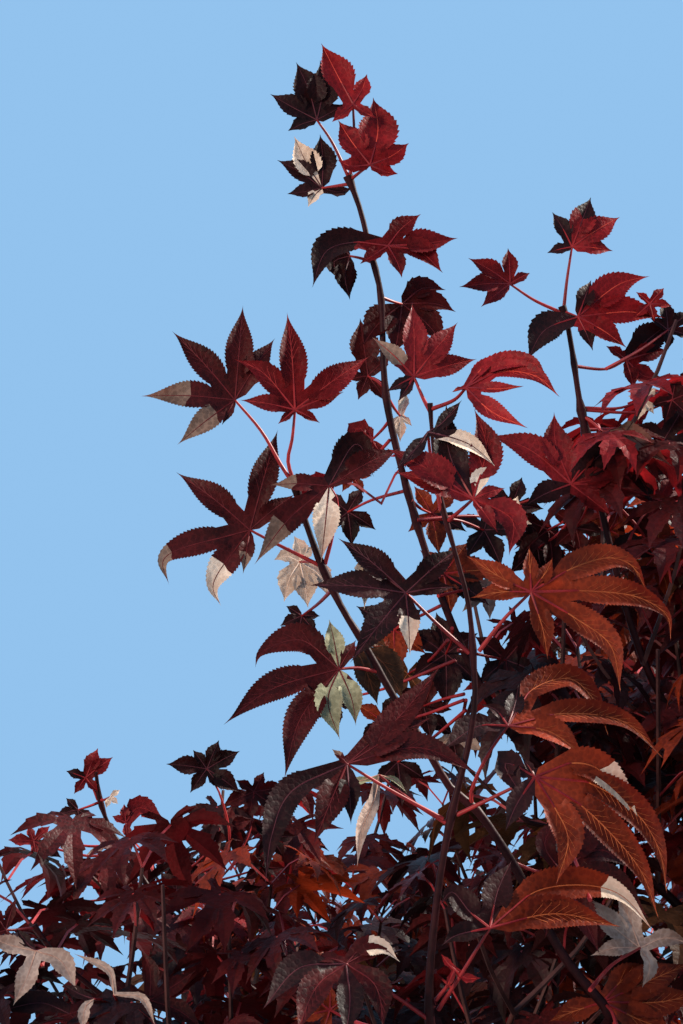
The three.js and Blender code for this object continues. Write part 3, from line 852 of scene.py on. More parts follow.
def terracotta_surface():
    """Fired clay: orange-brown with darker clouds, pale bloom in patches, turning marks and a sandy grain."""
    clay = Surface("fired_clay")
    clouds = clay.noise(7, 5)
    grain = clay.noise(260)
    sand = clay.cells(520)
    salts = clay.noise(11, 8).between(0.50, 0.80)
    turning = clay.noise(30, 4, (0.1, 0.1, 9))
    base = clay.mixed(clouds.between(0.3, 0.7), (0.26, 0.085, 0.040), (0.41, 0.155, 0.078))
    base = clay.mixed(salts * 0.35, base, (0.54, 0.38, 0.29))
    base = clay.mixed(grain.between(0.55, 0.75) * 0.35, base, (0.17, 0.052, 0.026))
    shader = clay.node("ShaderNodeBsdfPrincipled", (), {
        "Base Color": base,
        "Roughness": 0.82 + grain * 0.12,
        "Normal": clay.bump(grain + sand * 0.5 + turning * 1.6, 0.4, 0.0012),
    })
    return clay.finish(shader)


# Trunk and boughs: fused, with the bark's relief
TRUNK_STEPS = 50
TRUNK_SIDES = 40
BOUGH_STEPS = 26
BOUGH_SIDES = 12
STEM_OVERLAP = 3
BARK_VOXEL = 3.4
RIDGE_PITCH = (0.16, 0.16, 0.03)
RIDGE_HEIGHT = 0.9
KNOB_PITCH = 0.05
KNOB_HEIGHT = 0.7


def trunk_rings(curve):
    """The trunk, tapering, with the lobes of its root flare at the foot."""
    shares = np.linspace(0, 1, TRUNK_STEPS)
    turns = 2 * np.pi * np.arange(TRUNK_SIDES) / TRUNK_SIDES
    flare = np.maximum(0, 1 - shares / FLARE_HEIGHT)[:, None] ** 2
    lobes = 1 - FLARE_LOBE_DEPTH + FLARE_LOBE_DEPTH * np.cos(FLARE_LOBES * turns + FLARE_LOBE_TURN)
    radii = mix(*TRUNK_RADII, shares)[:, None] + FLARE_RADIUS * flare * lobes
    points, triangles = tubes([curve.at(shares)], 1.0, TRUNK_SIDES)
    middle = np.repeat(curve.at(shares), TRUNK_SIDES, axis=0)
    return middle + (points - middle) * radii.reshape(-1, 1), triangles


def limb_and_stem(mass):
    """A bough with the stem that goes on from its tip, as one tapering path."""
    bough = limbs[mass.bough]
    shares = np.linspace(0, 1, BOUGH_STEPS)
    beyond = shares[STEM_OVERLAP:]
    radii = np.concatenate([bough.radius(shares), mix(BOUGH_TIP_RADIUS, STEM_TIP_RADIUS, beyond)])
    return np.vstack([bough.curve.at(shares), mass.stem.at(beyond)]), radii


def bark_piece():
    """Trunk, boughs and stems, fused by a remesh, with each vertex then moved out by the bark's relief."""
    heap = Heap()
    heap.add(*trunk_rings(limbs["trunk"].curve))
    for mass in tiers:
        path, radii = limb_and_stem(mass)
        heap.add(*tubes([path], [radii], BOUGH_SIDES))
    rough = make_piece("bark", np.vstack(heap.points), np.vstack(heap.triangles), [])
    fuse = rough.modifiers.new("fuse", "REMESH")
    fuse.mode = "VOXEL"
    fuse.voxel_size = BARK_VOXEL * MM
    fused = bpy.data.meshes.new_from_object(rough.evaluated_get(bpy.context.evaluated_depsgraph_get()))
    rough.modifiers.clear()
    rough.data = fused
    places = np.zeros(3 * len(fused.vertices), np.float32)
    fused.vertices.foreach_get("co", places)
    normals = np.zeros_like(places)
    fused.vertices.foreach_get("normal", normals)
    places, normals = places.reshape(-1, 3), normals.reshape(-1, 3)
    heights = np.array([bark_relief(place) for place in places / MM])
    places += normals * heights[:, None] * MM
    fused.vertices.foreach_set("co", places.ravel())
    fused.polygons.foreach_set("use_smooth", np.full(len(fused.polygons), True))
    fused.materials.append(bark_surface())
    fused.update()
    return rough


def bark_relief(place):
    """How far the bark stands out at a place: long low ridges that rise with the limb, and small knobs."""
    ridges = noise.noise(Vector(place * RIDGE_PITCH))
    knobs = noise.noise(Vector(place * KNOB_PITCH))
    return RIDGE_HEIGHT * ridges + KNOB_HEIGHT * knobs


# Leaf blades: lobes that spread from the stalk's end, toothed, folded a little along each midrib
SINUS = 0.26
SINUS_WIDTH = 0.7
SINUS_FURTHEST = 0.55
NOTCH_SHARE = 0.5
NOTCH_NUDGE = 0.001
LEAST_APART = 0.1
LOBE_WAY_AT = 0.2
LOBE_CROWDING = 0.94
# How a lobe swells from its sinus and narrows to its tip, how high that curve gets, and the least tip width
LOBE_START = 0.3
LOBE_SWELL = 1.36
LOBE_NARROW = 1.9
LOBE_HIGHEST = 0.2568
TIP_WIDTH = 0.05
TOOTH_START = 0.15
TOOTH_LEAN = 0.35
VEIN_REACH = 0.4
VEIN_LENGTH = 3
VEIN_LAST = 0.8

# The crown's leaf shapes: each lobe's turn and length, how it droops, bends and widens, and how these vary
TEMPLATES = 8
LOBE_TURNS = (-128, -79, -39, 0, 39, 79, 128)
LOBE_LENGTHS = (0.42, 0.76, 0.95, 1.0, 0.95, 0.76, 0.42)
LOBE_TURN_JITTER = 7
LOBE_SHORTEST = 0.94
LOBE_LENGTH_SPREAD = 0.12
LARGE_LOBE = 0.5
LARGE_LOBE_SECTIONS = 5
SMALL_LOBE_SECTIONS = 3
LOBE_HALF_WIDTH = 0.15
LOBE_LEAST_WIDTH = 0.008
KNEE = 0.55
KNEE_DROP = 0.25
LOBE_BEND = 0.07
DROOP = 0.12
DROOP_SPREAD = 0.4
LOBE_DROOP = 0.6
LOBE_DROOP_SPREAD = 0.8
DROOP_SHORTENS = 0.3
CROWN_FOLD = 0.18
CROWN_FOLD_SPREAD = 0.25
CROWN_TOOTH = 0.2
# The share of the sprays that each colour has
CROWN_COLOURS = [
    ("maroon", 0.42),
    ("plum", 0.28),
    ("crimson", 0.12),
    ("brick", 0.09),
    ("bronze", 0.07),
    # The pale grey-tan leaves are in part undersides, in part painted sunlit sheen
    ("dusky", 0.02),
]


class Blade:
    """One leaf blade: its points, of which the hub and the notches are the heart, triangles and veins."""

    def __init__(self, hub, normal):
        self.normal = normal
        self.points = [hub]
        self.heart = 1
        self.triangles = []
        self.marks = []
        self.midribs = []
        self.veins = []

    def add(self, point):
        self.points.append(point)
        return len(self.points) - 1

    def face(self, a, b, c, mark):
        if len({a, b, c}) == 3:
            self.triangles.append((a, b, c))
            self.marks.append(mark)


def lobe_width(share):
    """Half width of a lobe, as a share of its widest, from the sinus at 0 to its drawn-out tip at 1."""
    share = np.clip(share, 0, 1)
    body = (share + LOBE_START) ** LOBE_SWELL * (1 - share) ** LOBE_NARROW / LOBE_HIGHEST
    return np.maximum(body, TIP_WIDTH * (1 - share) ** 0.5)


def add_notches(blade, hub, lobes):
    """The places between the lobes where they part, and one beside the first and last, next to the stalk."""
    starts = [SINUS * curve.length for curve, *_ in lobes]
    ways = [curve.going(LOBE_WAY_AT) for curve, *_ in lobes]
    widths = [half_width for _, half_width, *_ in lobes]

    def beside(end):
        return widths[end] * NOTCH_SHARE * np.cross(blade.normal, ways[end])

    notches = [blade.add(hub + starts[0] * NOTCH_SHARE * ways[0] - beside(0))]
    for left in range(len(lobes) - 1):
        right = left + 1
        apart = 0.5 * np.linalg.norm(ways[left] - ways[right])
        furthest = SINUS_FURTHEST * (starts[left] + starts[right])
        parting = 0.5 * SINUS_WIDTH * (widths[left] + widths[right]) / max(apart, LEAST_APART)
        way = unit(ways[left] + ways[right] + NOTCH_NUDGE * blade.normal)
        notches.append(blade.add(hub + min(furthest, parting) * way))
    notches.append(blade.add(hub + starts[-1] * NOTCH_SHARE * ways[-1] + beside(-1)))
    blade.heart = len(blade.points)
    return notches


def leaf_blade(hub, normal, lobes, fold, tooth, rows=(1.0,)):
    """A blade from its lobes, in order round the hub.

    Each lobe has its curve from the hub, its half width, how many sections it has, and its colour's mark with
    the share of its length from which it holds. rows are the shares of the half width that have points.
    """
    blade = Blade(hub, normal)
    notches = add_notches(blade, hub, lobes)
    for order, (curve, half_width, sections, (mark, turning)) in enumerate(lobes):
        lengths = mix(SINUS, 1, np.linspace(0, 1, sections) ** LOBE_CROWDING)
        lobe = {
            "middles": curve.at(lengths),
            "going": curve.going(lengths),
            "widths": half_width * lobe_width((lengths - SINUS) / (1 - SINUS)),
            "lean": TOOTH_LEAN * (lengths[1] - lengths[0]) * curve.length,
            "mark": mark,
            "turn": np.searchsorted(lengths, turning) if turning else -sections,
        }
        lobe["asides"] = unit(np.cross(normal, lobe["going"]))
        spine = [blade.add(point) for point in lobe["middles"]]
        blade.midribs.append((np.vstack([hub, lobe["middles"][:-1]]), mark))
        lobe_side(blade, lobe, spine, notches[order], -1, fold, tooth, rows)
        lobe_side(blade, lobe, spine, notches[order + 1], 1, fold, tooth, rows)
    return blade


def lobe_side(blade, lobe, spine, notch, side, fold, tooth, rows):
    """One side of a lobe, from the sinus to the tip, with a tooth at the end of each section."""
    def face(a, b, c, step, row=0):
        """A face marked from its lobe's turn on; on one side the border slants, a section for each row, as a
        shadow edge slants across a folded lobe where the mark paints sunlight or shade.
        """
        marked = step - (row if side > 0 else 0) >= lobe["turn"]
        blade.face(a, *((b, c) if side > 0 else (c, b)), lobe["mark"] if marked else 0)

    def edge(step, width, between=0.0):
        """A place beside the midrib, between two sections where that is asked."""
        after = min(step + 1, len(spine) - 1)
        ways = (lobe[key] for key in ("middles", "going", "asides"))
        middle, going, aside = (mix(way[step], way[after], between) for way in ways)
        lean = lobe["lean"] * going * min(1, width / lobe["widths"].max())
        return middle + lean + width * (side * aside + fold * blade.normal)

    inner = [blade.add(mix(lobe["middles"][0], blade.points[notch], row)) for row in rows[:-1]]
    before = [spine[0], *inner, notch]
    for low, high in zip(before, before[1:]):
        face(0, low, high, 0)
    for step in range(1, len(spine)):
        width = lobe["widths"][step]
        tip = step == len(spine) - 1
        now = [spine[step]] + [spine[step] if tip else blade.add(edge(step, width * row)) for row in rows]
        for low in range(len(rows) - 1):
            face(before[low], now[low + 1], before[low + 1], step, low + 1)
            face(before[low], now[low], now[low + 1], step, low)
        nick_width = mix(lobe["widths"][step - 1], width, TOOTH_START) * (1 - tooth)
        nick = blade.add(edge(step - 1, nick_width, TOOTH_START))
        if step % 2 and VEIN_LENGTH < step < VEIN_LAST * len(spine) and not lobe["mark"]:
            root, inside, rim = (blade.points[index] for index in (spine[step - VEIN_LENGTH], *now[-2:]))
            blade.veins.append((root, inside, mix(inside, rim, VEIN_REACH)))
        face(before[-2], nick, before[-1], step, len(rows))
        face(before[-2], now[-2], nick, step, len(rows) - 1)
        face(now[-2], now[-1], nick, step, len(rows) - 1)
        before = now


def crown_template(draw):
    """A leaf of unit size that looks along +X with its upper side to +Z."""
    droop = DROOP + DROOP_SPREAD * draw()
    hub = np.zeros(3)
    lobes = []
    for turn, length in zip(LOBE_TURNS, LOBE_LENGTHS):
        heading = aim(turn + LOBE_TURN_JITTER * (2 * draw() - 1))
        reach = length * (LOBE_SHORTEST + LOBE_LENGTH_SPREAD * draw())
        fall = droop * (LOBE_DROOP + LOBE_DROOP_SPREAD * draw())
        side = turned(heading, UP, 90) * LOBE_BEND * (2 * draw() - 1)
        knee = heading * KNEE * reach + side - UP * fall * KNEE_DROP * reach
        tip = heading * reach * (1 - DROOP_SHORTENS * fall) - UP * fall * reach
        sections = LARGE_LOBE_SECTIONS if length > LARGE_LOBE else SMALL_LOBE_SECTIONS
        half_width = LOBE_HALF_WIDTH * reach + LOBE_LEAST_WIDTH
        lobes.append((Curve([hub, knee, tip]), half_width, sections, (0, 0)))
    return leaf_blade(hub, UP, lobes, CROWN_FOLD + CROWN_FOLD_SPREAD * draw(), CROWN_TOOTH)


def crown_leaves(mass, sprays, draw):
    """The leaves of the sprays, in opposite pairs from tip to root, without those out of mass or place."""
    found = []
    for spray in sprays:
        distance = spray.curve.length
        while distance > LEAF_NEAREST_ROOT * LEAF_GAP:
            along = distance / spray.curve.length
            root, going = spray.curve.at(along), spray.curve.going(along)
            across = turned(across_from(going), going, LEAF_TURN_SPREAD * (draw() - 0.5))
            for side in (1, -1):
                leaf = leaf_frame(root, unit(LEAF_FORWARD * going + side * across + LEAF_RISE * UP), draw)
                leaf["colour"] = spray.colour
                tips = leaf["hub"] + leaf["reach"] * np.array([leaf["forward"], leaf["side"], -leaf["side"]])
                marks = np.vstack([tips, leaf["hub"]])
                if (mass is None or mass.fill(marks).max() < 1) and not out_of_place(marks).any():
                    found.append(leaf)
            distance -= LEAF_GAP * (LEAF_GAP_LEAST + LEAF_GAP_SPREAD * draw())
    return found


def shoot_leaves(shoot, draw, skipped):
    """Opposite pairs down a long shoot, each a quarter turn from the next, after those that are skipped."""
    found = []
    pairs = int(np.linalg.norm(shoot.ends[1] - shoot.ends[0]) / SHOOT_INTERNODE) + 1
    for pair in range(skipped, pairs):
        along = 1 - (pair * SHOOT_INTERNODE + SHOOT_TIP) / shoot.stem.length
        root, going = shoot.stem.at(along), shoot.stem.going(along)
        across = turned(across_from(going), going, 90 * pair)
        for side in (1, -1):
            leaf = leaf_frame(root, unit(SHOOT_LEAF_FORWARD * going + side * across + LEAF_RISE * UP), draw)
            leaf["colour"] = "crimson" if draw() < 0.5 else "maroon"
            found.append(leaf)
    return found


def leaf_frame(root, heading, draw):
    """How one leaf stands: its root and hub, its own three axes, its reach, and which shape it has."""
    longer, nod, roll, wider, kind, swing = (draw() for _ in range(6))
    reach = mix(*LEAF_REACH, wider)
    flat = unit(heading * (1, 1, 0) + LEVEL_NUDGE * RIGHT)
    flat = turned(flat, UP, LEAF_SWING * (swing - 0.5))
    forward = unit(flat - UP * (LEAF_NOD + LEAF_NOD_SPREAD * nod))
    side = unit(np.cross(UP, forward))
    side = unit(side + UP * LEAF_ROLL_SPREAD * (roll - 0.5))
    side = unit(side - forward * side.dot(forward))
    return {
        "root": root,
        "hub": root + heading * reach * (STALK_LENGTH + STALK_LENGTH_SPREAD * longer),
        "forward": forward,
        "side": side,
        "face": np.cross(forward, side),
        "reach": reach,
        "kind": int(kind * TEMPLATES),
    }


def dealt(chance):
    """A colour for a spray, by the share that each colour has of the crown."""
    for name, share in CROWN_COLOURS:
        chance -= share
        if chance < 0:
            return name
    return CROWN_COLOURS[0][0]


def stack(leaves, key):
    return np.array([leaf[key] for leaf in leaves])


def add_leaves(heaps, stalks, leaves, templates):
    """Each leaf's shape goes to its colour's heap, turned to its frame, and its bowed stalk to the stalks."""
    for colour, kind in sorted({(leaf["colour"], leaf["kind"]) for leaf in leaves}):
        some = [leaf for leaf in leaves if leaf["colour"] == colour and leaf["kind"] == kind]
        shape = np.array(templates[kind].points)
        frames = np.stack([stack(some, "forward"), stack(some, "side"), stack(some, "face")], 1)
        places = np.einsum("pk,nkc->npc", shape, frames) * stack(some, "reach")[:, None, None]
        places += stack(some, "hub")[:, None]
        for points in places:
            heaps[colour].add(points, templates[kind].triangles)
    roots, hubs, forwards = stack(leaves, "root"), stack(leaves, "hub"), stack(leaves, "forward")
    bows = STALK_BOW * np.linalg.norm(hubs - roots, axis=1)[:, None] * UP
    bows = mix(roots, hubs, STALK_BOW_AT) + bows
    stalks.add(*tubes(np.stack([roots, bows, hubs + forwards], 1), STALK_RADIUS, sides=3))


def build_crown():
    """The crown's leaves by colour, their stalks, and the twigs and sprays that carry them."""
    draw = seeded(LEAF_SEED)
    templates = [crown_template(draw) for _ in range(TEMPLATES)]
    heaps = {name: Heap() for name in LEAF_COLOURS}
    stalks, wood = Heap(), Heap()
    for mass in masses:
        if mass.tier == "shoot":
            twigs = []
            sprays = grow_sprays(None, mass.stem, draw, *LEAFY_STRETCHES.get(mass.name, LEAFY_STRETCH))
            sprays = [spray for spray in sprays if not out_of_place(spray.curve.points).any()]
        else:
            twigs = grow_twigs(mass)
            sprays = [spray for twig in twigs for spray in grow_sprays(mass, twig, draw)]
        for twig in twigs:
            wood.add(*tapered(twig, TWIG_RADII, steps=9, sides=7))
        for spray in sprays:
            spray.colour = dealt(draw())
            wood.add(*tapered(spray.curve, SPRAY_RADII, steps=5, sides=4))
        leaves = crown_leaves(mass if twigs else None, sprays, draw)
        if mass.tier == "shoot":
            leaves += shoot_leaves(mass, draw, PAIRS_FROM_PHOTO.get(mass.name, 0))
        if leaves:
            add_leaves(heaps, stalks, leaves, templates)
    return heaps, stalks, wood


def dress_crown():
    names = [mass.name for mass in masses]
    heaps, stalks, wood = build_crown()
    for colour, heap in heaps.items():
        if heap.points:
            for piece in heap.pieces(f"leaves_{colour}", [leaf_materials[colour]], smooth=False):
                dressed(piece, "leaves", *names)
    red = plain_surface("leaf_stalk", (0.13, 0.008, 0.011), (0.32, 0.026, 0.026), 60, 0.45, 0.1, shine=0.3)
    young = plain_surface("young_twig", (0.022, 0.007, 0.007), (0.07, 0.023, 0.019), 70, 0.6, 0.2, shine=0.15)
    for piece in stalks.pieces("leaf_stalks", [red]) + wood.pieces("fine_twigs", [young]):
        dressed(piece, "leaves", *names)


leaf_materials = {name: leaf_surface(f"leaf_{name}", *tones) for name, tones in LEAF_COLOURS.items()}
dress_crown()
dressed(bark_piece(), "bark", *limbs)


# The photograph's shoots: stems and leaves placed where it shows them
# Marks on a lobe, in order: painted sunlight in tan, painted shade in plum, the underside, brighter painted
# sunlight in cream, and the underside's pale green
SUNLIT_TAN, PAINTED_SHADE, UNDER, SUNLIT_CREAM, SAGE = 1, 2, 3, 4, 5
NEAR_DEPTH = 900
LEAF_SHEET = 0.35
LEAF_TOOTH = 0.1
LEAF_FOLD = 0.42
LEAF_ROWS = (0.5, 1.0)
TOOTH_STEP = 2.0
FAR_TOOTH_STEP = 2.8
STRAIGHT_LOBE_RISE = 0.07
LOBE_WIDTH_SHARE = 0.16
LOBE_WIDTH_MORE = 0.3
LOBE_WIDTHS = (1.5, 6.4)
USUAL_LEAN = (0.1, 0.4)
# The last leaves of two shoots fill the crown behind the rest, this many times as large as their rows
HIGHEST_SPREAD = 1.75
FRONT_RIGHT_SPREAD = 1.6
FEWEST_SECTIONS = 5
MIDRIB_RADII = (0.36, 0.1)
MIDRIB_SIDES = 5
VEIN_RADII = (0.14, 0.095, 0.05)
VEIN_SIDES = 3
# The leaves whose midribs are bright for a few steps from the hub
HEARTED = ("scarlet", "crimson", "brick")
HEART_STEPS = 4
HEART_RADII = (0.6, 0.2)
SHOWN_STALK_RADII = (0.55, 0.95)
SHOWN_STEM_STEPS = 90
SHOWN_STEM_SIDES = 10
STEM_SWELLING = 0.5
STEM_SWELLING_REACH = 3.5
STEM_FOOT_MORE = 1.0
# Where the stems go on out of the picture, down to their boughs, in shares of the source's stem
STEM_GOES_ON = (0.6, 0)
STEM_GOES_ON_POINTS = 5
# The veins' dark and light tones, by their leaf's colour
VEIN_COLOURS = {
    "crimson": ((0.17, 0.010, 0.012), (0.30, 0.025, 0.022)),
    "brick": ((0.26, 0.045, 0.014), (0.42, 0.10, 0.030)),
    "maroon": ((0.060, 0.007, 0.009), (0.13, 0.014, 0.016)),
    "plum": ((0.045, 0.010, 0.015), (0.09, 0.020, 0.026)),
    "bronze": ((0.14, 0.040, 0.018), (0.24, 0.075, 0.034)),
    # Pale veins for the pale grey-tan leaves, which carry painted sunlit sheen
    "dusky": ((0.30, 0.15, 0.11), (0.50, 0.30, 0.22)),
    "scarlet": ((0.40, 0.030, 0.020), (0.60, 0.070, 0.040)),
    # Pale veins for the leaves painted as brightly sunlit
    "cream": ((0.60, 0.42, 0.32), (0.80, 0.62, 0.50)),
}


class Shown:
    """A leaf of the photograph, in its pixels: hub, stalk back to the stem, and each lobe from the hub out.

    nearer is how far it stands before its stem, in millimetres. marks gives lobes of another colour, from a
    share of their length on: painted sunlight, painted shade and the underside's pale green. lean is how its
    plane falls away to the right and upward. width widens lobes.
    spread sets them further out from the hub, to whole pixels.
    """

    def __init__(self, hub, stalk, lobes, colour, nearer=0, marks=(), lean=USUAL_LEAN, width=1.0, spread=1):
        self.hub = hub
        self.stalk = np.reshape(stalk, (-1, 2))
        self.lobes = [np.round(mix(hub, np.reshape(lobe, (-1, 2)), spread)) for lobe in lobes]
        self.colour = colour
        self.lean = lean
        self.nearer = nearer
        self.marks = dict(marks)
        self.width = width
